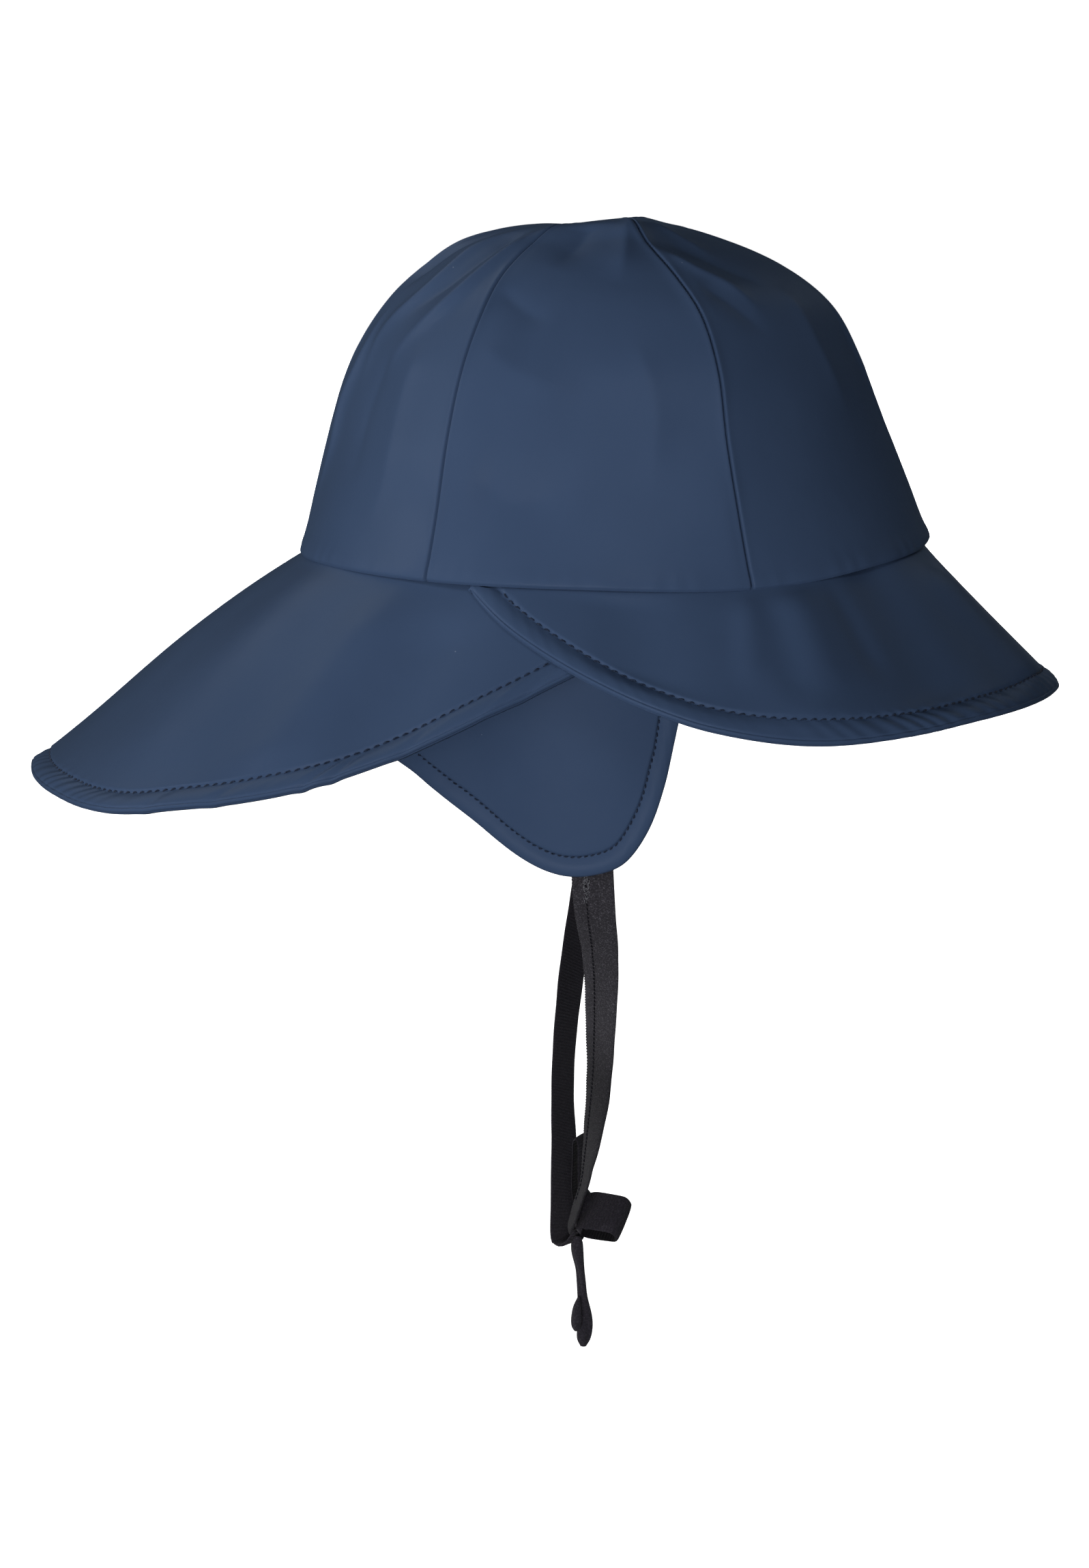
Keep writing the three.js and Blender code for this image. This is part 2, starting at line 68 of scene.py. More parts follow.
# angle from the front, height of the seam round the head opening
SEAM_LINE = [(0, 2.4), (30, 0.8), (60, -2.4), (90, -1.6), (120, -1.4), (150, -1.0), (180, -2.4)]

# level, front x, front z, back x, back z
MIDDLE_SEAMS = [
    (0, 91.0, 0.0, -89.6, 0.0),
    (1, 85.0, 17.0, -85.8, 17.0),
    (2, 77.1, 38.0, -80.4, 37.0),
    (3, 70.3, 56.0, -74.0, 55.0),
    (4, 62.8, 69.4, -64.8, 69.6),
    (5, 50.5, 79.5, -54.5, 79.6),
    (6, 34.4, 87.0, -42.0, 87.8),
    (7, 15.4, 91.9, -22.0, 91.8),
    (8, -2.0, 89.5, -4.0, 89.5),
]
# level, fore x, fore z, aft x, aft z, side y, sag on the left
SIDE_SEAMS = [
    (0, 44.6, 0.0, -46.0, 0.0, 65.8, 0.0),
    (1, 41.2, 17.0, -43.2, 17.0, 64.0, 0.0),
    (2, 37.2, 38.0, -40.4, 38.0, 60.5, 0.0),
    (3, 34.4, 56.0, -37.0, 56.0, 55.0, 0.5),
    (4, 29.2, 70.5, -32.5, 70.5, 47.0, 1.0),
    (5, 21.4, 80.5, -27.8, 80.5, 38.0, 1.6),
    (6, 12.4, 89.0, -20.7, 88.4, 27.5, 2.2),
    (7, 6.4, 95.4, -13.5, 93.3, 18.0, 2.6),
    (8, -2.5, 89.5, -3.5, 89.5, 0.9, 0.0),
]
# level, bulge, tilt
GORE_FORM = [
    (0, 1.0, 0.0),
    (1, 0.72, 0.05),
    (2, 0.56, 0.12),
    (3, 0.5, 0.25),
    (4, 0.44, 0.4),
    (5, 0.34, 0.5),
    (6, 0.2, 0.5),
    (7, 0.1, 0.2),
    (8, 0.1, 0.0),
]
# angle, slope below level, bow
BRIM_FALL = [
    (0, 45.3, -0.2),
    (30, 47.8, 0),
    (60, 50.3, 0),
    (90, 51, 0),
    (120, 49.5, 0.4),
    (150, 43, 1.2),
    (180, 37.7, 2.2),
]
# share of the hem, angle, reach
FRONT_HEM = [
    (0, 0, 56.2),
    (0.12, 14, 54),
    (0.25, 29, 52.2),
    (0.37, 42, 51.2),
    (0.5, 57, 48.6),
    (0.62, 71.5, 42.2),
    (0.7, 80.5, 35.6),
    (0.78, 88.5, 28.2),
    (0.86, 96.5, 19.8),
    (0.93, 104, 11.2),
    (1, 111, 1.8),
]
BACK_HEM = [
    (0, 180, 102.4),
    (0.08, 172, 100.2),
    (0.16, 163, 97.6),
    (0.23, 155, 95.4),
    (0.3, 148.5, 91.8),
    (0.38, 141, 84.3),
    (0.46, 133, 76.4),
    (0.54, 125, 67.6),
    (0.62, 116.5, 55.6),
    (0.7, 108.5, 45),
    (0.78, 100, 34.4),
    (0.86, 91, 24),
    (0.93, 80, 13),
    (1, 67, 1.8),
]
FLAP_EDGE = [
    (0, 71.5, 28),
    (0.1, 73.3, 43),
    (0.2, 75.3, 57),
    (0.3, 78.6, 70),
    (0.37, 83.6, 79.4),
    (0.44, 91, 83.2),
    (0.5, 98, 82.9),
    (0.58, 106, 78.2),
    (0.68, 117.8, 67),
    (0.78, 128.5, 57.6),
    (0.88, 139.5, 50),
    (1, 151.5, 30),
]
# x, y, z of the ribbon's middle line, turn of its width, width
STRAP_RIGHT = [
    (-0.5, -59.1, -67, 0, 11.6),
    (-0.4, -56.9, -80, -1, 11.6),
    (0.1, -53, -96, -9, 11.6),
    (0.7, -45, -109.5, -27, 11.6),
    (0.5, -36.5, -124, -39, 11.6),
    (-0.7, -27, -142, -47, 11.6),
    (-1.9, -22, -155.5, -53, 11.6),
    (-3.8, -16.5, -169, -63, 11.6),
    (-5.3, -12, -178, -71, 11.6),
    (-6.9, -8.8, -187, -77, 11.6),
    (-9.4, -7.6, -195, -77, 9.5),
    (-11.4, -6.4, -201, -77, 7),
]
STRAP_LEFT = [
    (-5.6, 58.9, -67, 1, 11.6),
    (-6.4, 56.9, -80, 4, 11.6),
    (-8.2, 52.2, -96, 28, 11.6),
    (-11.0, 45, -109.5, 48, 11.6),
    (-14.3, 35, -129, 58, 11.6),
    (-15.4, 28.5, -143, 61, 11.6),
    (-15.9, 24, -156, 63, 11.6),
    (-15.9, 19.5, -168, 64, 11.6),
    (-15.2, 14, -179, 62, 11.6),
    (-14.6, 9, -188, 59, 11.6),
    (-14.1, 5, -197, 56, 11.6),
    (-13.9, 3, -204.4, 56, 11.6),
    (-13.4, 2.7, -206.4, 56, 11.6),
    (-12.0, 1.7, -207.3, 56, 10.6),
    (-10.7, 1.0, -206.4, 56, 8.0),
    (-9.2, 0.3, -203.2, 56, 5.5),
]

# The sewing and the ribbon, then the cloth in a level of the crown, on average and at its foot, and how
# much longer a gore's arc is than its chord.
STITCH_PITCH = 2.9
FLAP_PITCH = 1.95
BRIM_BAND = 6.7
FLAP_BAND = 5.6
THREAD = 0.5
PUCKER_PITCH = 6.4
BEAD_PITCH = 1.03
RIB_PITCH = 0.92
STRAP_STITCH_PITCH = 1.45
CLOTH_PER_LEVEL = 14.5
FOOT_PER_LEVEL = 17.2
ARC_PER_CHORD = 1.05

# How far to the side the UV of a loop's inside lies, which marks where its material paints shade inside the
# loop, and the millimetres in Blender's unit.
LOOP_ASIDE = 100.0
METRE = 1000


def along(rows, at):
    """Values on the smooth curve through a table's rows at places along their first column.

    Between two rows the value rises by t*t*(3 - 2t), and each row's slope, taken from the rows on either
    side of it, is kept with t*(1-t)*(1-t) and t*t*(1-t).
    """
    rows = np.asarray(rows, float)
    key, value = rows[:, 0], rows[:, 1:]
    at = np.asarray(at, float)
    i = np.searchsorted(key[1:-1], at, side="left")
    before = np.maximum(np.arange(len(key)) - 1, 0)
    after = np.minimum(np.arange(len(key)) + 1, len(key) - 1)
    slope = (value[after] - value[before]) / (key[after] - key[before])[:, None]
    span = (key[i + 1] - key[i])[..., None]
    t = np.clip((at - key[i])[..., None] / span, 0, 1)
    rise = t * t * (3 - 2 * t)
    out = value[i] * (1 - rise) + value[i + 1] * rise
    out = out + slope[i] * span * t * (1 - t) ** 2 - slope[i + 1] * span * t * t * (1 - t)
    return out[..., 0] if value.shape[1] == 1 else out


def row_curve(rows, at):
    """Values on the smooth curve through a table's rows, at places counted in rows."""
    return along(np.column_stack([np.arange(len(rows)), np.asarray(rows, float)]), at)


def smoothstep(low, high, at):
    """0 below low, 1 above high, and t*t*(3 - 2t) between."""
    t = np.clip((at - low) / (high - low), 0, 1)
    return t * t * (3 - 2 * t)


def hump(at, middle, half_width, height=1.0):
    """A soft hump: height * exp(-(distance / half width) squared)."""
    return height * np.exp(-(((at - middle) / half_width) ** 2))


def unit(vectors):
    """The same directions with length 1."""
    return vectors / np.maximum(np.linalg.norm(vectors, axis=-1, keepdims=True), 1e-9)


def stack(x, y, z):
    """Points from arrays of x, y and z."""
    return np.stack(np.broadcast_arrays(x, y, z), axis=-1)


def running_length(points):
    """The length along a line of points, from its first point."""
    steps = np.linalg.norm(np.diff(points, axis=0), axis=-1)
    return np.concatenate([[0.0], np.cumsum(steps)])


def grid_normals(points):
    """The direction across a grid of points: its step along columns crossed with its step along rows."""
    return unit(np.cross(np.gradient(points, axis=1), np.gradient(points, axis=0)))


def facing(normal, away):
    """The normals, all turned round if on the whole they point against the ways in away."""
    return -normal if np.einsum("ijk,ijk->", normal, away) < 0 else normal


def wander(seed, *places):
    """A slow waviness from -1 to 1: five sine waves of places, their ways and starts drawn from a seed."""
    dice = np.random.default_rng(seed)
    total = 0.0
    for _ in range(5):
        ways = dice.normal(size=len(places))
        start = dice.uniform(0, 2 * np.pi)
        total = total + np.sin(start + sum(way * place for way, place in zip(ways, places)))
    return total / 5


def make_piece(name, points, faces, material, uv=None, nodes=()):
    """A smooth mesh piece of the hat, from points in millimetres. It takes the place of its nodes.

    Its faces are turned round if its volume, summed over them, comes out negative.
    """
    points = np.asarray(points, float).reshape(-1, 3)
    faces = np.asarray(faces, int)
    corner = points[faces[:, :3]]
    volume = np.einsum("ij,ij->", corner[:, 0], np.cross(corner[:, 1], corner[:, 2]))
    if faces.shape[1] == 4:
        corner = points[faces[:, [0, 2, 3]]]
        volume += np.einsum("ij,ij->", corner[:, 0], np.cross(corner[:, 1], corner[:, 2]))
    if volume < 0:
        faces = faces[:, ::-1]
    mesh = bpy.data.meshes.new(name)
    mesh.from_pydata((points / METRE).tolist(), [], faces.tolist())
    mesh.polygons.foreach_set("use_smooth", np.ones(len(faces), bool))
    if uv is not None:
        layer = mesh.uv_layers.new(name="cloth")
        layer.data.foreach_set("uv", np.asarray(uv, float).reshape(-1, 2)[faces.ravel()].ravel())
    mesh.materials.append(material)
    mesh.validate()
    piece = bpy.data.objects.new(name, mesh)
    bpy.context.collection.objects.link(piece)
    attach(piece, "root")
    if nodes:
        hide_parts(*nodes)


def ring_faces(rings, around):
    """Faces of a closed skin over rings of points, with a fan of thin faces over each end."""
    i, k = np.meshgrid(np.arange(rings - 1), np.arange(around), indexing="ij")
    a, b = i * around + k, i * around + (k + 1) % around
    sides = np.stack([a, b, b + around, a + around], axis=-1).reshape(-1, 4)
    k = np.arange(1, around // 2)
    cap = np.stack([k - 1, k, around - 1 - k, around - k], axis=-1)
    last = (rings - 1) * around
    return np.concatenate([sides, cap[:, ::-1], cap + last])


def sheet_faces(rows, columns):
    """Faces of a closed sheet: an outer grid of points, an inner one after it, and the rim between them."""
    j, i = np.meshgrid(np.arange(rows - 1), np.arange(columns - 1), indexing="ij")
    a = (j * columns + i).ravel()
    outer = np.stack([a, a + 1, a + 1 + columns, a + columns], axis=-1)
    inner = outer[:, ::-1] + rows * columns
    top = np.arange(columns)
    right = np.arange(1, rows) * columns + columns - 1
    bottom = (rows - 1) * columns + np.arange(columns - 2, -1, -1)
    left = np.arange(rows - 2, 0, -1) * columns
    rim = np.concatenate([top, right, bottom, left])
    after = np.roll(rim, -1)
    edge = np.stack([after, rim, rim + rows * columns, after + rows * columns], axis=-1)
    return np.concatenate([outer, inner, edge])


# The materials.


def node(tree, kind, **values):
    """A node of a material, with its properties or, by name, its inputs set."""
    made = tree.nodes.new(kind)
    for key, value in values.items():
        if hasattr(made, key):
            setattr(made, key, value)
        else:
            made.inputs[key.replace("_", " ")].default_value = value
    return made


def new_material(name, roughness, sheen, specular):
    """A material with its shader, and the shader's even values on its own sockets."""
    material = bpy.data.materials.new(name)
    material.use_nodes = True
    shader = material.node_tree.nodes["Principled BSDF"]
    shader.inputs["Roughness"].default_value = roughness
    shader.inputs["Sheen Weight"].default_value = sheen
    shader.inputs["Specular IOR Level"].default_value = specular
    return material, material.node_tree, shader


def noise(tree, place, scale, detail, roughness=0.5):
    """Cloudy noise read at a place."""
    clouds = node(tree, "ShaderNodeTexNoise", Scale=scale, Detail=detail, Roughness=roughness)
    tree.links.new(place, clouds.inputs["Vector"])
    return clouds.outputs["Fac"]


def colour_ramp(tree, value, stops):
    """The colour that a value picks from a ramp, each stop of which is a place and a colour."""
    ramp = node(tree, "ShaderNodeValToRGB")
    while len(ramp.color_ramp.elements) < len(stops):
        ramp.color_ramp.elements.new(0.5)
    for element, (place, colour) in zip(ramp.color_ramp.elements, stops):
        element.position = place
        element.color = (*colour, 1)
    tree.links.new(value, ramp.inputs["Fac"])
    return ramp.outputs["Color"]


def new_range(tree, value, old, new):
    """A value carried evenly from its old range to a new one, and held inside it."""
    ranged = node(tree, "ShaderNodeMapRange")
    for socket, number in zip(("From Min", "From Max", "To Min", "To Max"), (*old, *new)):
        ranged.inputs[socket].default_value = number
    tree.links.new(value, ranged.inputs["Value"])
    return ranged.outputs["Result"]


def bump(tree, height, strength, distance, under=None):
    """The bumps of a height, laid over other bumps where they are given."""
    bumps = node(tree, "ShaderNodeBump", Strength=strength, Distance=distance)
    tree.links.new(height, bumps.inputs["Height"])
    if under is not None:
        tree.links.new(under, bumps.inputs["Normal"])
    return bumps.outputs["Normal"]


def coated_cloth(tones, lint_colour):
    """Cloth with a satin coating: cloudy tones, a faint grain under the coating, specks of lint."""
    material, tree, shader = new_material("navy_coated_cloth", 0.4, 0.0, 0.34)
    link = tree.links.new
    place = node(tree, "ShaderNodeTexCoord").outputs["Object"]
    tone = colour_ramp(tree, noise(tree, place, 16.0, 3.0, 0.55), tones)
    lint = node(tree, "ShaderNodeTexVoronoi", Scale=62.0, Randomness=1.0)
    link(place, lint.inputs["Vector"])
    speck = new_range(tree, lint.outputs["Distance"], (0.016, 0.01), (0.0, 0.3))
    mixed = node(tree, "ShaderNodeMix", data_type="RGBA")
    mixed.inputs["B"].default_value = (*lint_colour, 1)
    link(speck, mixed.inputs["Factor"])
    link(tone, mixed.inputs["A"])
    link(mixed.outputs["Result"], shader.inputs["Base Color"])
    satin = new_range(tree, noise(tree, place, 34.0, 2.0), (0.0, 1.0), (0.34, 0.44))
    link(satin, shader.inputs["Roughness"])
    grain = bump(tree, noise(tree, place, 1900.0, 2.0, 0.6), 0.12, 0.00012)
    ripples = bump(tree, noise(tree, place, 120.0, 3.0), 0.25, 0.0004, grain)
    link(ripples, shader.inputs["Normal"])
    return material


def black_ribbon(name, tones, ribs_depth, painted_shade_from):
    """Black woven ribbon with grey fluff on it and low ribs across it.

    The ribs and the diagonal of the weave follow its UV, which is in millimetres. Shade is painted into its
    colour: it darkens past a place along it, towards the knot, and inside its loops, where its UV is
    LOOP_ASIDE to the side.
    """
    material, tree, shader = new_material(name, 0.95, 0.05, 0.12)
    link = tree.links.new
    cloth = node(tree, "ShaderNodeUVMap", uv_map="cloth").outputs["UV"]
    place = node(tree, "ShaderNodeTexCoord").outputs["Object"]
    fluff = noise(tree, place, 2300.0, 4.0, 0.7)
    shade = colour_ramp(tree, fluff, tones)
    split = node(tree, "ShaderNodeSeparateXYZ")
    link(cloth, split.inputs["Vector"])
    # painted shade: the axis of the UV, where it begins to darken and over what width, and the darkest
    # share; along Y towards the knot, along X inside the loops
    for axis, start, width, darkest in (("Y", painted_shade_from, 18.0, 0.45), ("X", LOOP_ASIDE / 2, 1.0, 0.2)):
        fade = new_range(tree, split.outputs[axis], (start, start + width), (1.0, darkest))
        painted_shade = node(tree, "ShaderNodeVectorMath", operation="SCALE")
        link(shade, painted_shade.inputs["Vector"])
        link(fade, painted_shade.inputs["Scale"])
        shade = painted_shade.outputs["Vector"]
    link(shade, shader.inputs["Base Color"])
    # the ribs across and the diagonal: way, scale, distortion, strength and height
    bumps = None
    for way, scale, distortion, strength, distance in (
        ("Y", 0.34, 0.8, ribs_depth, 0.0003),
        ("DIAGONAL", 0.8, 1.2, 0.18, 0.0002),
    ):
        ribs = node(
            tree, "ShaderNodeTexWave", bands_direction=way, Scale=scale, Distortion=distortion, Detail=1.0
        )
        link(cloth, ribs.inputs["Vector"])
        bumps = bump(tree, ribs.outputs["Fac"], strength, distance, bumps)
    link(bump(tree, fluff, 0.6, 0.0004, bumps), shader.inputs["Normal"])
    return material


def sewing_thread(name, tones):
    """Thread, with a twist read from fine noise."""
    material, tree, shader = new_material(name, 0.6, 0.05, 0.3)
    twist = noise(tree, node(tree, "ShaderNodeTexCoord").outputs["Object"], 2600.0, 2.0)
    tree.links.new(colour_ramp(tree, twist, tones), shader.inputs["Base Color"])
    tree.links.new(bump(tree, twist, 0.5, 0.0001), shader.inputs["Normal"])
    return material


navy_cloth = coated_cloth(
    [(0.3, (0.0245, 0.0412, 0.0795)), (0.7, (0.029, 0.0478, 0.0905))],
    (0.28, 0.32, 0.4),
)
navy_thread = sewing_thread(
    "sewing_thread", [(0.35, (0.005, 0.008, 0.017)), (0.75, (0.018, 0.027, 0.05))]
)
black_thread = sewing_thread(
    "black_thread", [(0.35, (0.002, 0.002, 0.003)), (0.75, (0.009, 0.009, 0.012))]
)
fluff_thread = sewing_thread(
    "fluff_thread", [(0.35, (0.04, 0.04, 0.045)), (0.75, (0.13, 0.13, 0.145))]
)
fluffy_ribbon = black_ribbon(
    "black_ribbon_fluffy",
    [(0.36, (0.013, 0.0125, 0.0145)), (0.54, (0.023, 0.0215, 0.0255)), (0.74, (0.085, 0.082, 0.092))],
    ribs_depth=0.05,
    # painted shade from here on along the near strap, where it runs into the knot
    painted_shade_from=74.0,
)
smooth_ribbon = black_ribbon(
    "black_ribbon_smooth",
    [(0.36, (0.0105, 0.0095, 0.012)), (0.54, (0.0165, 0.015, 0.019)), (0.76, (0.04, 0.037, 0.044))],
    ribs_depth=0.3,
    painted_shade_from=400.0,
)


# The seam and the crown.


def seam(angle):
    """Points of the seam round the head opening, and the level directions that point away from it.

    The seam is an ellipse as long and as wide as the opening, with the seam line's heights.
    """
    a = np.radians(angle)
    from_front = np.abs((np.asarray(angle, float) + 180) % 360 - 180)
    ellipse = stack(
        OPENING_LENGTH / 2 * np.cos(a), OPENING_WIDTH / 2 * np.sin(a), along(SEAM_LINE, from_front)
    )
    outward = unit(stack(np.cos(a) / OPENING_LENGTH, np.sin(a) / OPENING_WIDTH, 0.0))
    return ellipse, outward


def crown_seam(index, level):
    """Points of one of the six crown seams, counted from the front towards the left, at levels."""
    place = index % 6
    middle = along(MIDDLE_SEAMS, level)
    side = along(SIDE_SEAMS, level)
    if place in (0, 3):
        column = 0 if place == 0 else 2
        return stack(middle[..., column], 0.0, middle[..., column + 1])
    column = 0 if place in (1, 5) else 2
    left = place < 3
    height = side[..., column + 1] - (side[..., 5] if left else 0)
    return stack(side[..., column], side[..., 4] if left else -side[..., 4], height)


def gore_surface(index, share, level):
    """Points of a gore: the chord between two seams, bulged away from the crown's axis.

    The bulge is bulge * (cos(angle) / cos(30) - 1) of the way out from the axis, tilted up by its tilt. The
    seam's heights are added at the foot and fade out by level 3.
    """
    half = np.radians(GORE_HALF_ANGLE)
    start, end = crown_seam(index, level), crown_seam(index + 1, level)
    angle = np.arctan((2 * share - 1) * np.tan(half))
    chord = start + (end - start) * share[..., None]
    away_x = chord[..., 0] - CROWN_AXIS_X * level / TOP_LEVEL
    form = along(GORE_FORM, level)
    away = stack(away_x, chord[..., 1], form[..., 1] * np.hypot(away_x, chord[..., 1]))
    point = chord + away * (form[..., 0] * (np.cos(angle) / np.cos(half) - 1))[..., None]
    turn = (2 * index + 1) * GORE_HALF_ANGLE + np.degrees(angle)
    point[..., 2] += seam(turn)[0][..., 2] * (1 - smoothstep(0, LEVEL_ABOVE_SEAM, level))
    return point


def gore_width(index, level):
    """How wide a gore is at levels, from seam to seam."""
    return np.linalg.norm(crown_seam(index + 1, level) - crown_seam(index, level), axis=-1)


# Creases pressed into the gores. Each has its gore, its height, how fast it falls off on the left and on
# the right of its way, and the shares and levels that it runs through.
CREASES = [
    (3, 2.3, 1.5, 6.0, [(0.86, 7.0), (0.885, 5.9), (0.83, 4.9), (0.74, 4.1), (0.6, 3.4), (0.47, 2.6)]),
    (3, -1.6, 3.6, 3.0, [(0.68, 6.7), (0.71, 5.8), (0.66, 4.9), (0.57, 4.2), (0.42, 3.5)]),
    (3, 1.9, 2.2, 3.6, [(0.6, 7.0), (0.5, 5.7), (0.5, 4.7), (0.44, 4.0), (0.3, 3.2), (0.3, 2.3)]),
    (3, 1.6, 1.6, 6.0, [(0.17, 4.1), (0.2, 2.9), (0.16, 2.2), (0.16, 1.6), (0.1, 0.7)]),
    (3, -1.2, 3.0, 3.6, [(0.3, 6.8), (0.2, 5.8), (0.14, 4.9), (0.16, 4.2)]),
    (3, 1.0, 4.0, 7.0, [(0.75, 3.4), (0.68, 2.6), (0.7, 1.5), (0.66, 0.6)]),
    (3, -0.9, 5.0, 5.0, [(0.5, 3.2), (0.46, 2.2), (0.5, 1.2)]),
    (5, 1.3, 3.2, 2.0, [(0.02, 6.0), (0.16, 5.15), (0.28, 4.55), (0.36, 3.7)]),
    (5, -0.8, 3.4, 3.4, [(0.1, 4.8), (0.22, 4.1), (0.34, 3.4)]),
    (5, 1.0, 2.8, 2.4, [(0.3, 7.2), (0.4, 6.2), (0.43, 5.2)]),
    (5, -0.7, 3.0, 3.0, [(0.2, 6.2), (0.36, 5.2), (0.52, 4.4)]),
    (5, 0.9, 6.0, 5.0, [(0.6, 4.6), (0.62, 3.2), (0.7, 1.9)]),
    (4, 1.3, 3.0, 5.0, [(0.95, 7.0), (0.78, 5.8), (0.64, 4.7)]),
    (4, -1.3, 5.0, 5.0, [(0.5, 6.9), (0.42, 6.0), (0.3, 5.1)]),
    (4, -1.1, 4.0, 5.0, [(0.02, 4.7), (0.2, 4.1), (0.36, 3.7)]),
    (4, 1.0, 5.0, 6.0, [(0.02, 3.5), (0.26, 2.9), (0.5, 2.6)]),
    (4, -0.9, 6.0, 6.0, [(0.1, 1.6), (0.3, 1.2), (0.5, 1.5)]),
    (4, 0.8, 5.0, 7.0, [(0.66, 3.6), (0.74, 2.4), (0.7, 1.2)]),
    (2, 1.7, 2.0, 5.0, [(0.2, 6.8), (0.22, 5.4), (0.3, 4.3), (0.42, 3.2)]),
    (2, 1.2, 3.4, 3.0, [(0.7, 6.1), (0.66, 4.7), (0.72, 3.4)]),
    (2, -1.0, 4.0, 4.0, [(0.45, 6.4), (0.5, 5.0), (0.56, 3.8)]),
    (1, 1.2, 3.0, 5.0, [(0.1, 6.9), (0.26, 5.7), (0.38, 4.6)]),
    (1, -1.0, 4.0, 4.0, [(0.85, 4.4), (0.7, 3.6), (0.6, 2.8)]),
    (1, 0.9, 5.0, 7.0, [(0.3, 3.4), (0.36, 2.3), (0.3, 1.2)]),
    (0, 1.5, 1.8, 4.0, [(0.98, 5.8), (0.84, 5.0), (0.72, 4.1)]),
    (0, 1.2, 3.0, 3.0, [(0.5, 6.8), (0.55, 5.6), (0.5, 4.6)]),
]
# How many spots mark a crease's line, how round its crest is, and how wide its two falls blend.
CREASE_SPOTS = 90
CREASE_ROUNDING = 1.2
CREASE_CREST = 1.1
CREASE_BLEND = 0.6


def crease_heights(index, width, share, level):
    """The heights of a gore's creases.

    Each crease adds height * exp(-(sqrt(off * off + rounding) - crest) / fall), where off is the distance
    from its line on the cloth laid flat. It tapers to nothing at both ends of the line.
    """
    across, up = (share - 0.5) * width, level * CLOTH_PER_LEVEL
    total = np.zeros_like(across)
    for gore, height, fall_left, fall_right, path in CREASES:
        if gore != index:
            continue
        path = np.array(path)
        path_width = np.interp(path[:, 1], level[:, 0], width[:, 0])
        flat_path = np.column_stack([(path[:, 0] - 0.5) * path_width, path[:, 1] * CLOTH_PER_LEVEL])
        spots = np.linspace(0, len(path) - 1, CREASE_SPOTS)
        line = row_curve(flat_path, spots)
        way = unit(np.gradient(line, axis=0))
        apart_x = across[..., None] - line[:, 0]
        apart_y = up[..., None] - line[:, 1]
        near = np.argmin(apart_x**2 + apart_y**2, axis=-1)
        apart_x = np.take_along_axis(apart_x, near[..., None], -1)[..., 0]
        apart_y = np.take_along_axis(apart_y, near[..., None], -1)[..., 0]
        aside = way[near, 0] * apart_y - way[near, 1] * apart_x
        ahead = way[near, 0] * apart_x + way[near, 1] * apart_y
        past_end = np.where((near == 0) | (near == CREASE_SPOTS - 1), np.abs(ahead), 0.0)
        off = np.hypot(aside, past_end)
        fall = fall_right + (fall_left - fall_right) * smoothstep(-CREASE_BLEND, CREASE_BLEND, aside)
        spots_ahead = ahead / running_length(line)[-1] * CREASE_SPOTS
        share_along = np.clip((near + spots_ahead) / (CREASE_SPOTS - 1), 0, 1)
        ends = smoothstep(0, 0.25, share_along) * smoothstep(1.0, 0.6, share_along)
        total += height * ends * np.exp(-(np.sqrt(off * off + CREASE_ROUNDING) - CREASE_CREST) / fall)
    return total


# The gores' fine shape: distance from the seam or from the foot, half width, height.
SEAM_RIDGE = (1.1, 0.9, 0.11)
SEAM_GROOVE = (0.0, 0.38, -1.1)
SEAM_NOTCH = (0.0, 1.6, -0.16)
FOOT_ROLL = (2.6, 2.4, 0.25)
FOOT_EDGE = (0.0, 0.45, -0.6)
FOOT_WAVE = (1.0, 4.0, 0.07)
# The height of a gore's slow waves, and their lengths along x, y and z.
GORE_WAVE = 0.55
GORE_WAVE_LENGTHS = (15, 15, 10)
# The levels between which each of these fades out near the crown's top.
RIDGE_FADE = (7.9, 7.0)
GROOVE_FADE = (TOP_LEVEL, 7.3)
CREASE_FADE = (7.4, 6.3)


def gore_relief(index, share, level, points):
    """How far a gore's outer side stands proud of its surface.

    Beside its seams it has a low ridge, a groove and small notches. Its foot rolls a little over the brims,
    has a low ripple along it and turns in at its edge. Its creases and slow waves end at the seams.
    """
    width = gore_width(index, level)
    beside = np.minimum(share, 1 - share) * width * ARC_PER_CHORD
    foot = level * FOOT_PER_LEVEL
    relief = hump(beside, *SEAM_RIDGE) * smoothstep(*RIDGE_FADE, level)
    relief += hump(beside, *SEAM_GROOVE) * (0.3 + 0.7 * smoothstep(*GROOVE_FADE, level))
    notch = wander(70 + index, level * 9.0, 3.0 * (share > 0.5))
    relief += hump(beside, *SEAM_NOTCH) * np.clip(notch - 0.25, 0, 1)
    relief += hump(foot, *FOOT_ROLL) + hump(foot, *FOOT_EDGE)
    turn = share * 2 * GORE_HALF_ANGLE
    relief += np.sin(turn * 1.15 + 2.2 * np.sin(turn * 0.33 + index)) * hump(foot, *FOOT_WAVE)
    waves = wander(11 + index, *np.moveaxis(points / GORE_WAVE_LENGTHS, -1, 0))
    relief += smoothstep(0.0, 5.0, beside) * GORE_WAVE * waves
    creases = crease_heights(index, width, share, level)
    relief += creases * smoothstep(0.0, 2.0, beside) * smoothstep(*CREASE_FADE, level)
    return relief


# Where a gore's points lie close together: shares across it beside a seam, and heights above its foot.
SEAM_SHARES = np.array([0.0, 0.0012, 0.0026, 0.0045, 0.007, 0.0105, 0.016, 0.024, 0.036, 0.052, 0.072])
FOOT_SPOTS = np.array([0.0, 0.15, 0.3, 0.5, 0.8, 1.2, 1.8, 2.6, 3.6, 4.8, 6.2, 8.0, 10.2, 13.0])
# The even columns and rows between and above them, and where they begin and end.
GORE_COLUMNS = 70
EVEN_SHARES = (0.09, 0.91)
GORE_ROWS = 140
EVEN_LEVELS = (0.86, TOP_LEVEL)
# Half the gap between two gores.
GORE_HALF_GAP = 0.04
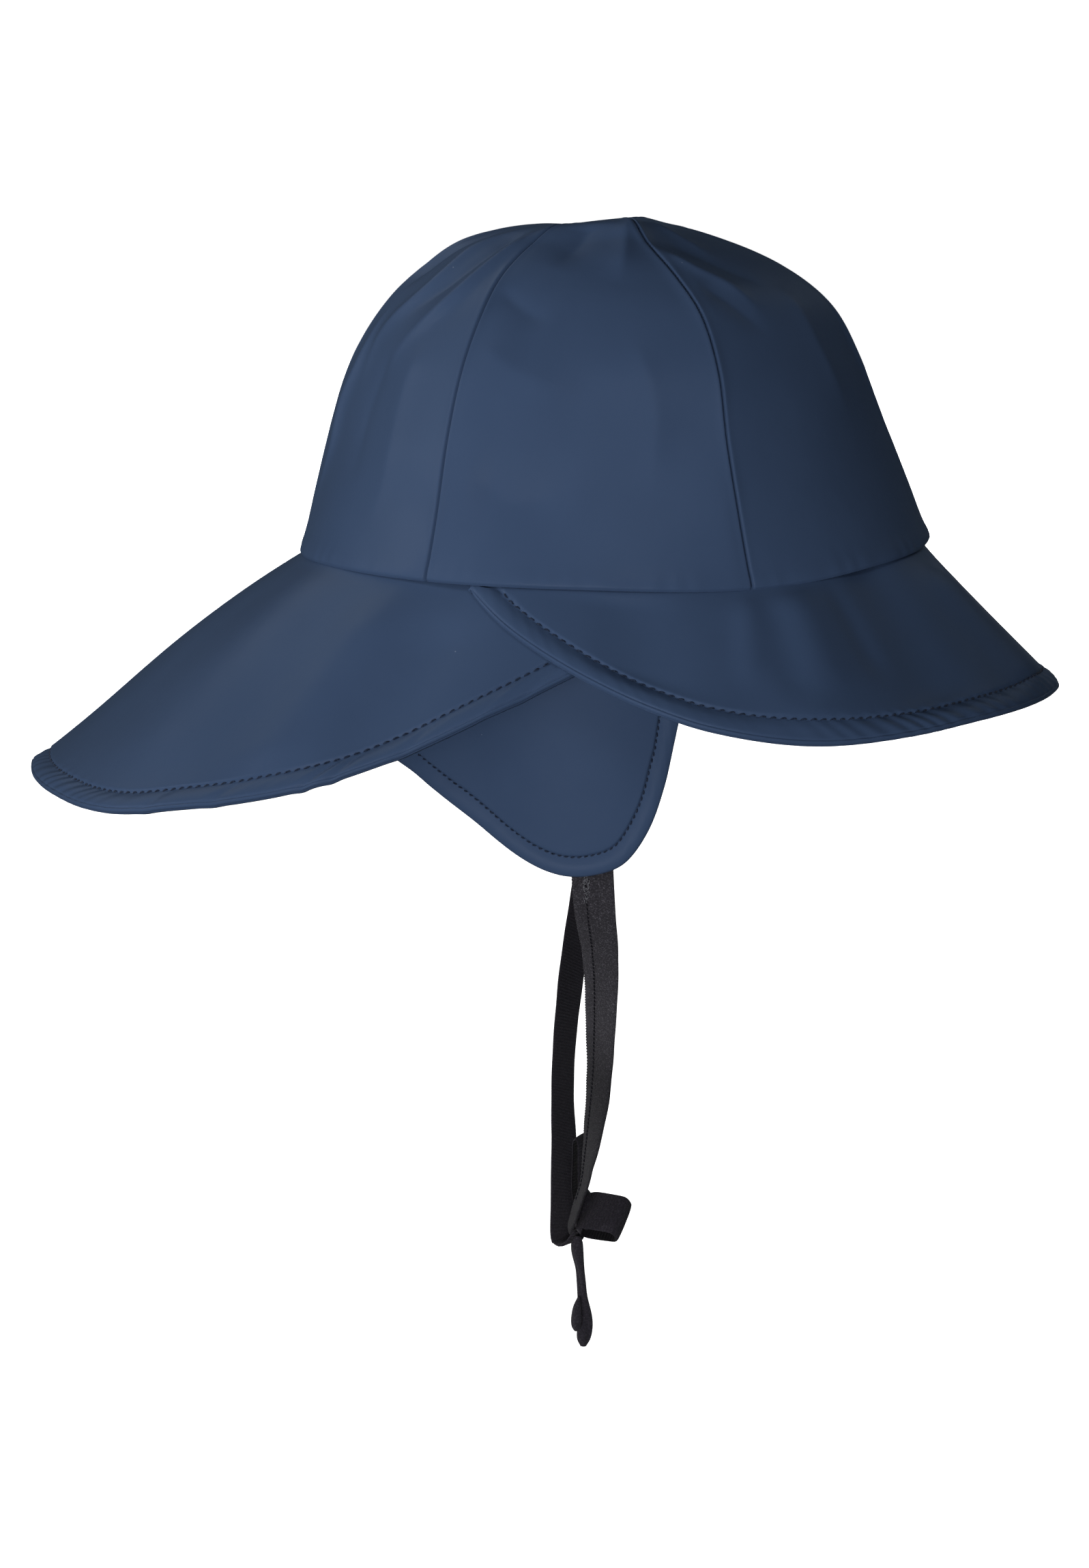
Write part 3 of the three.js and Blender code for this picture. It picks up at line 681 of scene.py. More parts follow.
# The foot's lift over the front brim, and the levels and the x over which it grows.
FRONT_LIFT = 0.5
FRONT_LIFT_LEVELS = (0.5, 0.0)
FRONT_LIFT_X = (60, 86)
# How far the tops close in on the crown's axis, and over which levels.
TOP_CLOSING = 0.94
TOP_CLOSING_LEVELS = (TOP_LEVEL - 0.35, TOP_LEVEL)
# A point inside the crown, and how far from a seam its two gores share their directions.
CROWN_INSIDE = [0, 0, 20]
SHARED_WIDTH = 1.5


def gore_normals(index, share, level, surface, axis, width):
    """The directions away from a gore.

    Beside a seam they lie in the upright plane through the seam and the crown's axis, so that the two gores
    that meet there are set off alike.
    """
    normal = facing(grid_normals(surface), surface - CROWN_INSIDE)
    first = share[..., None] < 0.5
    seam_point = np.where(first, crown_seam(index, level), crown_seam(index + 1, level))
    radial = unit((seam_point - axis) * [1, 1, 0])
    level_way = stack(-radial[..., 1], radial[..., 0], 0.0)
    beside = np.minimum(share, 1 - share) * width
    part = np.einsum("ijk,ijk->ij", normal, level_way) * hump(beside, 0.0, SHARED_WIDTH)
    return unit(normal - level_way * part[..., None])


def make_gore(node_name, index):
    """A crown gore: its outer side is its surface and relief, and its inner side lies a wall behind."""
    share = np.concatenate([SEAM_SHARES, np.linspace(*EVEN_SHARES, GORE_COLUMNS), 1 - SEAM_SHARES[::-1]])
    level = np.concatenate([FOOT_SPOTS / FOOT_PER_LEVEL, np.linspace(*EVEN_LEVELS, GORE_ROWS)])
    level, share = np.meshgrid(level, share, indexing="ij")
    width = gore_width(index, level)
    gap = GORE_HALF_GAP / np.maximum(width, 1.0)
    inside = gap + share * (1 - 2 * gap)
    surface = gore_surface(index, inside, level)
    lift = FRONT_LIFT * smoothstep(*FRONT_LIFT_LEVELS, level)
    surface[..., 2] += lift * smoothstep(*FRONT_LIFT_X, surface[..., 0])
    axis = stack(CROWN_AXIS_X * level / TOP_LEVEL, 0.0, 0.0)
    closing = TOP_CLOSING * smoothstep(*TOP_CLOSING_LEVELS, level)
    surface = surface - closing[..., None] * (surface - axis) * [1, 1, 0]
    normal = gore_normals(index, share, level, surface, axis, width)
    outer = surface + normal * gore_relief(index, inside, level, surface)[..., None]
    inner = surface - normal * CROWN_WALL
    points = np.concatenate([outer.reshape(-1, 3), inner.reshape(-1, 3)])
    faces = sheet_faces(*surface.shape[:2])
    make_piece(node_name + "_cloth", points, faces, navy_cloth, nodes=[node_name])


GORES = ["front_left", "side_left", "back_left", "back_right", "side_right", "front_right"]
for index, gore in enumerate(GORES):
    make_gore("crown_gore_" + gore, index)


# The brims and flaps.


def tuck(angle):
    """How far the back brim lies under the level of the front brim, at angles from the front."""
    return (BRIM_WALL + CLEARANCE) * (1 - smoothstep(TUCK_START_ANGLE, TUCK_END_ANGLE, np.abs(angle)))


def brim_point(angle, reach, lift):
    """Points of the brims: reach down the slope from the seam, and lift square to it."""
    slope = np.radians(along(BRIM_FALL, np.abs(angle))[..., 0])
    point, outward = seam(angle)
    out = reach * np.cos(slope) + lift * np.sin(slope) - SEAM_INSET
    point = point + outward * out[..., None]
    point[..., 2] += -SEAM_DROP - reach * np.sin(slope) + lift * np.cos(slope)
    return point


def brim_surface(hem, middle_angle, end_angle, tucked):
    """A brim's outer side: u from its right end to its left end, v from the seam to the hem.

    A place's angle goes evenly from the seam's at v = 0 to the hem's at v = 1. The cloth bows up between
    them by bow * 27/4 * v * (1 - v) squared, which is one bow at its highest.
    """

    def surface(u, v):
        share = np.abs(2 * u - 1)
        edge = along(hem, share)
        top = middle_angle + share * (end_angle - middle_angle)
        angle = top * (1 - v) + edge[..., 0] * v
        lift = 27 / 4 * v * (1 - v) ** 2 * along(BRIM_FALL, angle)[..., 1]
        if tucked:
            lift = lift - tuck(angle)
        return brim_point(np.where(u < 0.5, -angle, angle), edge[..., 1] * v, lift)

    return surface


def flap_surface(side):
    """An ear flap's outer side: u from its front edge to its back, v from the seam to its free edge."""

    def surface(u, v):
        edge = along(FLAP_EDGE, u)
        top = FLAP_FRONT_ANGLE + (FLAP_BACK_ANGLE - FLAP_FRONT_ANGLE) * u
        swing = LEFT_FLAP_SWING if side > 0 else 0.0
        angle = top * (1 - v) + (edge[..., 0] + swing) * v
        reach = edge[..., 1] * v
        lean = np.radians(FLAP_LEAN)
        point, outward = seam(side * angle)
        point = point - outward * (FLAP_INSET + tuck(angle) + reach * np.sin(lean))[..., None]
        point[..., 2] -= FLAP_DROP + reach * np.cos(lean)
        return point

    return surface


# How many places measure a hem, the v just above it, and the least depth of cloth, which is also the least
# above a band that is stitched.
HEM_PLACES = 1601
NEAR_HEM = 0.9
LEAST_DEPTH = 0.8
# Where a section's points lie: up from the hem's edge, on through the band at a step, and beside and above
# the stitches, counted from them. The last is the room that these need below the seam.
EDGE_SPOTS = [0.15, 0.35, 0.52, 0.66, 0.8, 0.94, 1.1, 1.35]
BAND_FROM = 1.8
BAND_STEP = 0.55
STITCH_SPOTS = np.arange(-0.75, 0.8, 0.25)
ABOVE_SPOTS = np.array([1.0, 1.5, 2.2, 3.2, 4.5])
ROOM_BELOW_SEAM = 1.5
# Shares of the hidden part above the seam, and how it goes inwards and up.
HIDDEN_SPOTS = np.array([[0.3, 0.6, 1.0]])
HIDDEN_IN, HIDDEN_UP = 0.6, 0.8
# The cloth thins away over this length at both ends of a hem.
END_ROUNDING = 1.2
# The edge of a hem from its outer to its inner side: how far out, and the share of the wall across.
HEM_LIPS = [(0.3, 0.36), (0.45, 0.2), (0.32, 0.07), (0.12, 0.0), (0.32, -0.07), (0.45, -0.2), (0.3, -0.36)]


def hem_columns(surface, spacing):
    """Values of u that part the hem evenly, the hem's running length there, and the cloth's depth.

    The depth is the way up the cloth from just above the hem, square to the hem, carried on to the seam.
    """
    u = np.linspace(0, 1, HEM_PLACES)
    length = running_length(surface(u, np.ones_like(u)))
    even = np.linspace(0, length[-1], int(length[-1] / spacing))
    at = np.interp(even, length, u)
    hem = surface(at, np.ones_like(at))
    way = (hem - surface(at, np.full_like(at, NEAR_HEM))) / (1 - NEAR_HEM)
    depth = np.linalg.norm(np.cross(way, unit(np.gradient(hem, axis=0))), axis=-1)
    return at, even, np.maximum(depth, LEAST_DEPTH)


def hem_distances(depth, band, inner_rows, hidden):
    """Distances up from the hem for the rows of a piece, from the hidden part's top down to the hem.

    They lie close at the edge and beside the stitches, and wider in the band and up to the seam. Where the
    cloth is less deep than the close ones reach, they draw together.
    """
    in_band = np.arange(BAND_FROM, band - 0.8, BAND_STEP)
    near = np.concatenate([EDGE_SPOTS, in_band, band + STITCH_SPOTS, band + ABOVE_SPOTS])
    depth = depth[:, None]
    scale = np.minimum(1.0, depth / (near[-1] + ROOM_BELOW_SEAM))
    far = near[-1] * scale + (depth - near[-1] * scale) * np.linspace(0, 1, inner_rows + 1)[1:]
    return np.concatenate([near * scale, far, depth + hidden * HIDDEN_SPOTS], axis=1)[:, ::-1]


def make_hemmed(node_name, surface, wall, band, away, relief, spacing, inner_rows, hidden):
    """A cloth piece with a turned and stitched hem.

    Each ring is the cloth's section at one place along the hem: down its outer side, round the edge in two
    lips with a groove between them, and back up its inner side. Each point stands off the surface by the
    relief at its distance up from the hem. It returns the lines of its stitches outside and inside, and the
    ways that they face.
    """
    u, length, depth = hem_columns(surface, spacing)
    side = hem_distances(depth, band, inner_rows, hidden)
    v = np.clip(1 - side / depth[:, None], 0, 1)
    points = surface(np.repeat(u[:, None], side.shape[1], axis=1), v)
    beyond = np.maximum(side - depth[:, None], 0)[..., None]
    points = points + beyond * (unit(points * [1, 1, 0]) * -HIDDEN_IN + [0, 0, HIDDEN_UP])
    normal = facing(grid_normals(points), away(points))
    end = np.clip(np.minimum(length, length[-1] - length) / END_ROUNDING, 0, 1)
    thin = np.sqrt(np.clip(1 - (1 - end) ** 2, 0.02, 1))[:, None]
    wave, outer_relief, inner_relief = relief(points, side, length[:, None], depth[:, None])
    middle = points + normal * (wave - wall / 2)[..., None]
    outer = middle + normal * (thin * (wall / 2 + outer_relief))[..., None]
    inner = middle - normal * (thin * (wall / 2 + inner_relief))[..., None]
    way = unit(points[:, -1] - points[:, -4])
    lips = [
        middle[:, -1] + way * (out * thin) + normal[:, -1] * (across * wall * thin)
        for out, across in HEM_LIPS
    ]
    rings = np.concatenate([outer, np.stack(lips, axis=1), inner[:, ::-1]], axis=1)
    over = np.concatenate([side, np.zeros((len(u), len(lips))), side[:, ::-1]], axis=1)
    uv = stack(length[:, None], over, 0.0)[..., :2]
    faces = ring_faces(*rings.shape[:2])
    make_piece(node_name + "_cloth", rings, faces, navy_cloth, uv, [node_name])
    stitched = depth > band + LEAST_DEPTH
    places = np.arange(len(u)), np.argmin(np.abs(side - band), axis=1)
    return tuple(grid[places][stitched] for grid in (outer, inner, normal))


# A hemmed piece's fine shape: the length of its slow waves, and the distance from the seam over which they
# grow to their height.
WAVE_LENGTH = 17
WAVE_GROWTH = 25
BRIM_WAVE = 0.5
FLAP_WAVE = 0.4
# The slant of the puckers, the swell of the band, its dips along the line of stitches and at each needle
# hole, outside and inside, and the step inside where the turned cloth ends.
PUCKER_SLANT = 1.1
BAND_SWELL = 0.5
LINE_DIP, LINE_DIP_INSIDE = 0.5, 0.35
NEEDLE_DIP, NEEDLE_DIP_INSIDE = 0.3, 0.15
TURNED_STEP = 0.3
# The groove in the edge of a brim: where it lies and its half width, and its depth.
EDGE_GROOVE = (0.78, 0.2)
GROOVE_DEPTH = 0.28


def hem_relief(band, puckers, wave_height, pitch, groove=0.0, folds=(), nips=(), seed=0):
    """The relief of a hemmed piece, from a place's distance d up from the hem and its length along it.

    The band swells towards the hem and dips along the stitches, gently on the band's side of them and
    sharply on the other. Slanted puckers run down from the stitches and grow from low to tall along x,
    folds run up and down the whole cloth, and nips are short pinches in the band.
    """
    low_pucker, taller, begin, full = puckers

    def relief(points, d, length, depth):
        share = length / length[-1]
        v = np.clip(1 - d / depth, 0, 1)
        wave = wave_height * wander(seed, *np.moveaxis(points / WAVE_LENGTH, -1, 0))
        wave = wave * smoothstep(0, WAVE_GROWTH, depth - d)
        for height, place, width, drift, low, high in folds:
            rise = smoothstep(low, low + 0.25, v) * smoothstep(high, high - 0.2, v)
            wave = wave + height * hump(share, place + drift * (1 - v), width) * rise
        for height, place, width, lean in nips:
            off = length - place * length[-1] - lean * (band - d)
            wave = wave + height * hump(off, 0, width) * smoothstep(band + 0.8, band - 2.5, d)
        slant = length - PUCKER_SLANT * (band - d)
        # two slow waves shift the puckers from their even pitch, and a third makes them rise and fall
        shift = 1.7 * np.sin(slant / 11.0) + 1.2 * np.sin(slant / 4.7 + 1)
        ridge = np.sin(2 * np.pi * slant / PUCKER_PITCH + shift)
        strength = 0.65 + 0.35 * np.sin(slant / 17.0 + seed)
        inside = smoothstep(-0.6, 1.6, d) * smoothstep(band + 2.6, band - 1.2, d)
        tall = low_pucker + taller * smoothstep(begin, full, points[..., 0])
        buckle = tall * ridge * strength * inside
        swell = BAND_SWELL * np.sin(np.pi * np.clip(d / band, 0, 1) ** 0.6) ** 1.2
        line = np.where(d < band, hump(d, band, 1.7), hump(d, band, 0.5))
        needle = hump(d, band, 0.4) * (0.5 + 0.5 * np.cos(2 * np.pi * length / pitch))
        outer = swell - LINE_DIP * line - NEEDLE_DIP * needle - groove * hump(d, *EDGE_GROOVE)
        inner = TURNED_STEP * smoothstep(band + 1.1, band + 0.8, d)
        inner = inner - LINE_DIP_INSIDE * hump(d, band, 0.55) - NEEDLE_DIP_INSIDE * needle
        return wave + buckle, outer, inner

    return relief


# The puckers in each band: least height, what is added, and the x between which it grows.
FRONT_PUCKERS = (0.03, 0.18, 40, 95)
BACK_PUCKERS = (0.03, 0.17, -110, -150)
FLAP_PUCKERS = (0.03, 0.0, 0, 1)
# Folds down the brims: height, place along the hem, half width, drift towards the crown, and the part of
# the way down to the hem that each takes up.
FRONT_FOLDS = [
    (2.2, 0.25, 0.04, 0.0, -0.1, 1.0),
    (-2.2, 0.345, 0.035, 0.005, -0.2, 0.95),
    (2.8, 0.46, 0.03, -0.02, 0.0, 1.0),
    (-1.4, 0.14, 0.035, -0.02, -0.1, 0.9),
    (-1.5, 0.56, 0.04, 0.0, -0.1, 1.0),
    (1.8, 0.7, 0.05, 0.0, 0.0, 1.0),
    (-1.6, 0.83, 0.05, 0.0, 0.0, 0.95),
    (0.65, 0.268, 0.016, -0.006, -0.05, 0.75),
    (-0.6, 0.241, 0.013, -0.006, -0.05, 0.8),
    (0.7, 0.205, 0.012, 0.01, -0.05, 0.7),
    (-0.7, 0.31, 0.012, -0.01, -0.05, 0.7),
    (0.8, 0.75, 0.012, 0.006, -0.05, 0.75),
    (-0.8, 0.77, 0.012, 0.006, -0.05, 0.75),
]
BACK_FOLDS = [
    (1.8, 0.26, 0.025, 0.0, 0.0, 0.95),
    (-1.6, 0.205, 0.028, 0.0, 0.1, 1.0),
    (1.1, 0.36, 0.035, -0.01, -0.1, 0.9),
    (-0.7, 0.43, 0.035, 0.0, 0.0, 0.9),
    (1.6, 0.62, 0.04, 0.0, 0.0, 0.95),
    (-1.6, 0.74, 0.04, 0.0, 0.0, 0.95),
]
# Pinches in the hem band: height, place along the hem, half width, slant.
FRONT_NIPS = [(-0.5, 0.58, 1.8, 0.5), (-0.45, 0.74, 1.8, -0.4)]
BACK_NIPS = [
    (-0.35, 0.1, 3.0, 1.0),
    (0.3, 0.12, 3.2, 1.0),
    (-0.35, 0.165, 3.2, 1.0),
    (-0.65, 0.207, 2.2, 0.6),
    (-0.7, 0.219, 2.2, 0.9),
    (-0.4, 0.27, 3.0, 0.8),
    (-0.35, 0.315, 3.0, 0.5),
    (-0.35, 0.66, 3.2, 0.6),
    (-0.35, 0.8, 3.2, -0.8),
]

# A point below the brims, from which their outer sides face away.
BELOW_BRIMS = np.array([0, 0, -90])
front_stitches = make_hemmed(
    "front_brim",
    brim_surface(FRONT_HEM, 0, FRONT_END_ANGLE, tucked=False),
    BRIM_WALL,
    BRIM_BAND,
    lambda points: points - BELOW_BRIMS,
    hem_relief(
        BRIM_BAND, FRONT_PUCKERS, BRIM_WAVE, STITCH_PITCH, GROOVE_DEPTH, FRONT_FOLDS, FRONT_NIPS, seed=31
    ),
    spacing=0.7,
    inner_rows=16,
    hidden=2.6,
)
back_stitches = make_hemmed(
    "back_brim",
    brim_surface(BACK_HEM, 180, BACK_END_ANGLE, tucked=True),
    BRIM_WALL,
    BRIM_BAND,
    lambda points: points - BELOW_BRIMS,
    hem_relief(
        BRIM_BAND, BACK_PUCKERS, BRIM_WAVE, STITCH_PITCH, GROOVE_DEPTH, BACK_FOLDS, BACK_NIPS, seed=32
    ),
    spacing=0.8,
    inner_rows=22,
    hidden=2.6,
)
hems = [("front_brim", front_stitches, STITCH_PITCH), ("back_brim", back_stitches, STITCH_PITCH)]
for side, node_name in ((1, "ear_flap_left"), (-1, "ear_flap_right")):
    flap_stitches = make_hemmed(
        node_name,
        flap_surface(side),
        FLAP_WALL,
        FLAP_BAND,
        lambda points: points * [0, 1, 0],
        hem_relief(FLAP_BAND, FLAP_PUCKERS, FLAP_WAVE, FLAP_PITCH, seed=33),
        spacing=0.7,
        inner_rows=20,
        hidden=0.5,
    )
    hems.append((node_name, flap_stitches, FLAP_PITCH))


# The topstitching. A stitch begins at a share of its pitch and is a share of it long. It slants by a share
# of the thread to both sides of its line, rises by a share of it, is sunk by another, and has as many
# points along it as around it. Its ends keep a share of its thickness.
STITCH_START = 0.12
STITCH_SHARE = 0.8
STITCH_SLANT = 0.32
STITCH_RISE = 0.75
STITCH_SUNK = 0.24
STITCH_POINTS = 6
STITCH_END = 0.05


def threads(name, centres, across, up, radius, around, material):
    """Short threads in one piece: round sections, with a radius for each place along rows of centres."""
    turn = np.arange(around) * 2 * np.pi / around
    ring = across[..., None, :] * np.cos(turn)[:, None] + up[..., None, :] * np.sin(turn)[:, None]
    points = centres[..., None, :] + ring * radius[:, None, None]
    count, steps = centres.shape[:2]
    starts = np.arange(count) * steps * around
    faces = (ring_faces(steps, around)[None] + starts[:, None, None]).reshape(-1, 4)
    make_piece(name, points, faces, material)


def spots_along(points, length, at):
    """Places on a line of points, at running lengths along it."""
    return np.stack([np.interp(at, length, points[:, axis]) for axis in range(3)], axis=-1)


def stitches(name, line, ways, pitch, material=navy_thread):
    """A row of stitches along a line, each a short thread, thick in its middle and dipping at its ends.

    Over t from 0 to 1 along a stitch, its height grows with sin(pi t) ** 0.6, its radius with
    sin(pi t) ** 0.4, and it crosses its line from one side to the other.
    """
    length = running_length(line)
    starts = (np.arange(int(length[-1] / pitch)) + STITCH_START) * pitch
    t = np.linspace(0, 1, STITCH_POINTS)
    at = starts[:, None] + t * pitch * STITCH_SHARE
    spots = spots_along(line, length, at)
    up = unit(spots_along(ways, length, at))
    across = np.cross(unit(np.gradient(spots, axis=1)), up)
    spots = spots + across * (THREAD * STITCH_SLANT * (1 - 2 * t))[:, None]
    rise = np.sin(np.pi * t) ** 0.6 * THREAD * STITCH_RISE - STITCH_SUNK * THREAD
    radius = THREAD / 2 * np.maximum(np.sin(np.pi * t), STITCH_END) ** 0.4
    threads(name, spots + up * rise[:, None], across, up, radius, STITCH_POINTS, material)


for node_name, (out_line, in_line, ways), pitch in hems:
    stitches(node_name + "_stitches", out_line, ways, pitch)
    stitches(node_name + "_stitches_inside", in_line, -ways, pitch)


# The chin strap. The steps along a fine ribbon and a plain one, and how many places measure it.
FINE_STEP = 0.26
PLAIN_STEP = 0.5
LEAST_RINGS = 12
RIBBON_PLACES = 400
# How far the woven edge stands past the rows' width, and the length over which it flares.
EDGE_ROOM = 0.2
FLARE_LENGTH = 3.2
HALF_THICKNESS = 0.5
# The cupping of a ribbon, its waves, and the ribs outside a bend: heights and lengths.
RIBBON_CUP, CUP_LENGTH = 0.22, 9.0
RIBBON_WAVE, RIBBON_WAVE_LENGTH = 0.05, 2.3
RIB_HEIGHT, RIBBED_LENGTH = 0.1, 4.5
# Places across a ribbon at its edge and over its middle, as shares of half its width.
ACROSS_EDGE = [-1, -0.985, -0.95, -0.89]
ACROSS_MIDDLE = np.linspace(-0.8, 0.8, 15)


def ribbon_frames(rows, at, pitch=0.0):
    """A ribbon's middle line at places counted in rows, the ways across and through it, and its width.

    The way across has the rows' turn as its heading and the pitch as its rise, and is squared to the line.
    """
    value = row_curve(rows, at)
    middle = value[:, :3]
    forward = unit(np.gradient(middle, axis=0))
    turn, tilt = np.radians(value[:, 3]), np.radians(pitch)
    across = stack(np.cos(tilt) * np.cos(turn), np.cos(tilt) * np.sin(turn), np.sin(tilt))
    across = unit(across - forward * np.einsum("ij,ij->i", across, forward)[:, None])
    return middle, across, np.cross(forward, across), value[:, 4:]


def make_ribbon(node_name, rows, material, pitch=0.0, thick=1.0, beads=0.0, flare=0.0, looped=False):
    """A length of ribbon: a thin section with round edges, carried along its rows.

    Half the section's height is HALF_THICKNESS * sqrt(1 - flat ** 8), with flat from -1 to 1 across it. Its
    first edge may have picot beads, a sine wave along it, and may flare out at its top. A looped one has
    ribs outside its bend, and the UV of its inside lies LOOP_ASIDE to the side, where its material paints
    shade.
    """
    counted = np.linspace(0, len(rows) - 1, RIBBON_PLACES)
    length = running_length(ribbon_frames(rows, counted, pitch)[0])
    step = FINE_STEP if beads or looped else PLAIN_STEP
    run = np.linspace(0, length[-1], max(int(length[-1] / step), LEAST_RINGS))
    middle, across, through, width = ribbon_frames(rows, np.interp(run, length, counted), pitch)
    run = run[:, None]
    flat = np.concatenate([ACROSS_EDGE, ACROSS_MIDDLE, -np.array(ACROSS_EDGE[::-1])])
    lift = HALF_THICKNESS * np.clip(1 - np.abs(flat) ** 8, 0, 1) ** 0.5
    place = np.concatenate([flat, flat[-2:0:-1]])
    high = np.concatenate([lift, -lift[-2:0:-1]]) * thick
    first = smoothstep(-0.8, -1.0, place)
    bead = np.sin(2 * np.pi * run / BEAD_PITCH)
    shift = place * (width / 2 + EDGE_ROOM) - first * (beads * bead + flare * hump(run, 0.0, FLARE_LENGTH))
    raised = high * (1 + 0.5 * (beads > 0) * first * bead)
    sag = RIBBON_CUP * np.sin(run / CUP_LENGTH) * place**2
    sag = sag + RIBBON_WAVE * np.sin(run / RIBBON_WAVE_LENGTH) * place
    if looped:
        bend = hump(run, length[-1] / 2, RIBBED_LENGTH, RIB_HEIGHT)
        raised = raised + bend * np.cos(2 * np.pi * run / RIB_PITCH) * (high < 0)
    points = middle[:, None] + across[:, None] * shift[..., None]
    points = points + through[:, None] * (raised + sag)[..., None]
    # the inside of a loop lies to the side in its UV, so that its material paints shade there
    inside = np.arange(len(place)) < len(flat)
    uv = stack(shift + LOOP_ASIDE * (inside & looped), run, 0.0)[..., :2]
    faces = ring_faces(*points.shape[:2])
    make_piece(node_name + "_ribbon", points, faces, material, uv, [node_name])


make_ribbon("chin_strap_right", STRAP_RIGHT, fluffy_ribbon, beads=0.11, flare=1.6)
make_ribbon("chin_strap_left", STRAP_LEFT, smooth_ribbon)


# The near strap's running stitch: the rows between which it runs, how many places mark its line, and the
# share of the width that it lies off the middle, which puts it a third of the width from the beaded edge.
STRAP_STITCH_ROWS = (0.05, len(STRAP_RIGHT) - 2.2)
STRAP_STITCH_PLACES = 500
STRAP_STITCH_OFF = 0.17


def near_strap_line():
    """The line of the near strap's running stitch, on its outer side, and its ways outwards and across."""
    at = np.linspace(*STRAP_STITCH_ROWS, STRAP_STITCH_PLACES)
    middle, across, through, width = ribbon_frames(STRAP_RIGHT, at)
    outward = through * np.where(through[:, 1:2] < 0, 1.0, -1.0)
    line = middle - across * width * STRAP_STITCH_OFF + outward * HALF_THICKNESS
    return line, outward, across


# The tuft of loose thread ends: how many, their points, radius, lengths, bends, spread to the side, swing to
# the side and heights off the ribbon, the stretch of the stitch line where they lie, and the place on that
# line whose ways they share.
TUFT_ENDS = 60
TUFT_POINTS = 7
TUFT_RADIUS = 0.12
TUFT_LENGTHS = (0.8, 2.0)
TUFT_BENDS = (-0.35, 0.35)
TUFT_SPREAD = 0.45
TUFT_SWING = 0.6
TUFT_LOW, TUFT_HIGH = 0.05, 0.3
TUFT_STRETCH = (15.5, 25.5)
TUFT_PLACE = 70


def thread_tuft(line, outward, across):
    """A tuft of loose thread ends just below the near flap: short threads, each bent along a sine wave."""
    dice = np.random.default_rng(8)
    start = dice.uniform(*TUFT_STRETCH, TUFT_ENDS)
    aim = dice.uniform(-np.pi, np.pi, TUFT_ENDS)[:, None]
    long = dice.uniform(*TUFT_LENGTHS, TUFT_ENDS)[:, None]
    bend = dice.uniform(*TUFT_BENDS, TUFT_ENDS)[:, None]
    wide = dice.normal(0, TUFT_SPREAD, TUFT_ENDS)[:, None]
    spot = spots_along(line, running_length(line), start)
    up, side = outward[TUFT_PLACE], across[TUFT_PLACE]
    down = unit(np.cross(up, side))
    t = np.linspace(0, 1, TUFT_POINTS)
    bow = np.sin(np.pi * t)
    way = np.cos(aim) * down + TUFT_SWING * np.sin(aim) * side
    path = spot[:, None] + way[:, None] * (long * (t - 0.5))[..., None]
    path = path + side * (wide + bend * bow)[..., None]
    path = path + up * (TUFT_LOW + TUFT_HIGH * bow)[:, None]
    forward = unit(np.gradient(path, axis=1))
    first = unit(np.cross(forward, up))
    radius = np.full(TUFT_POINTS, TUFT_RADIUS)
    second = np.cross(forward, first)
    threads("chin_strap_thread_ends", path, first, second, radius, 4, fluff_thread)


strap_line, strap_outward, strap_across = near_strap_line()
stitches(
    "chin_strap_stitches", strap_line, strap_outward, STRAP_STITCH_PITCH, black_thread
)
thread_tuft(strap_line, strap_outward, strap_across)

# A loop's outline from the knot and back to it: shares of its reach out, and of half its gap to the side.
LOOP_OUTLINE = [
    (-0.26, -0.6),
    (0, -0.95),
    (0.45, -1),
    (0.84, -0.94),
    (0.97, -0.6),
    (1, 0),
    (0.97, 0.6),
    (0.84, 0.94),
    (0.45, 1),
    (0, 0.95),
    (-0.26, 0.6),
]


def loop_rows(start, turn, pitch, heading, reach, gap, width):
    """Rows of a loop of ribbon that leaves the knot at a start, runs out by its reach and comes back.

    Its way out is the level way square to the ribbon's turn, swung about the ribbon's width by its heading.
    """
    t, p, h = np.radians([turn, pitch, -heading])
    across = np.array([np.cos(p) * np.cos(t), np.cos(p) * np.sin(t), np.sin(p)])
    level = np.array([np.sin(t), -np.cos(t), 0.0])
    way = level * np.cos(h) + np.cross(across, level) * np.sin(h)
    way = way + across * (across @ level) * (1 - np.cos(h))
    off = np.cross(way, across)
    outline = np.array(LOOP_OUTLINE)
    places = np.array(start) + outline[:, :1] * reach * way + outline[:, 1:] * gap / 2 * off
    return np.column_stack([places, np.full(len(outline), turn), np.full(len(outline), width)])


BOW_PITCH = 44
bow = loop_rows(
    (-4.9, -1.6, -198.2), turn=67, pitch=BOW_PITCH, heading=-1, reach=9.9, gap=5.8, width=12.4
)
make_ribbon("bow_loop", bow, smooth_ribbon, pitch=BOW_PITCH, thick=0.9, looped=True)
standing = loop_rows((-9.0, 2.0, -190), turn=74, pitch=0, heading=90, reach=14.6, gap=1.9, width=8)
make_ribbon("standing_loop", standing, smooth_ribbon, thick=0.8, looped=True)

# x, y, z, width, depth
KNOT = [
    (-7.8, 0.2, -190.6, 1.8, 2.6),
    (-7.7, 0.1, -192.4, 4.4, 6.2),
    (-7.7, 0, -196, 5.4, 7.4),
    (-7.8, -0.2, -200, 5.4, 7),
    (-7.9, -0.4, -202.6, 4.6, 5.4),
    (-8.0, -0.6, -204.4, 1.8, 2.4),
]
TAIL = [
    (-9.2, -1.2, -204.8, 2.6, 1.8),
    (-9.6, -1.6, -206.4, 4.2, 2.4),
    (-9.5, -1.6, -209.5, 4.2, 2.4),
    (-8.8, -1.4, -214.5, 2.9, 2),
    (-8.4, -1.2, -219, 2.7, 2),
    (-8.1, -1, -223, 3, 2),
    (-7.4, -1, -228, 4, 2.2),
    (-7.3, -1, -232, 4.5, 2.4),
    (-7.7, -1, -236, 4.3, 2.2),
    (-7.8, -1, -238.4, 2, 1.2),
]
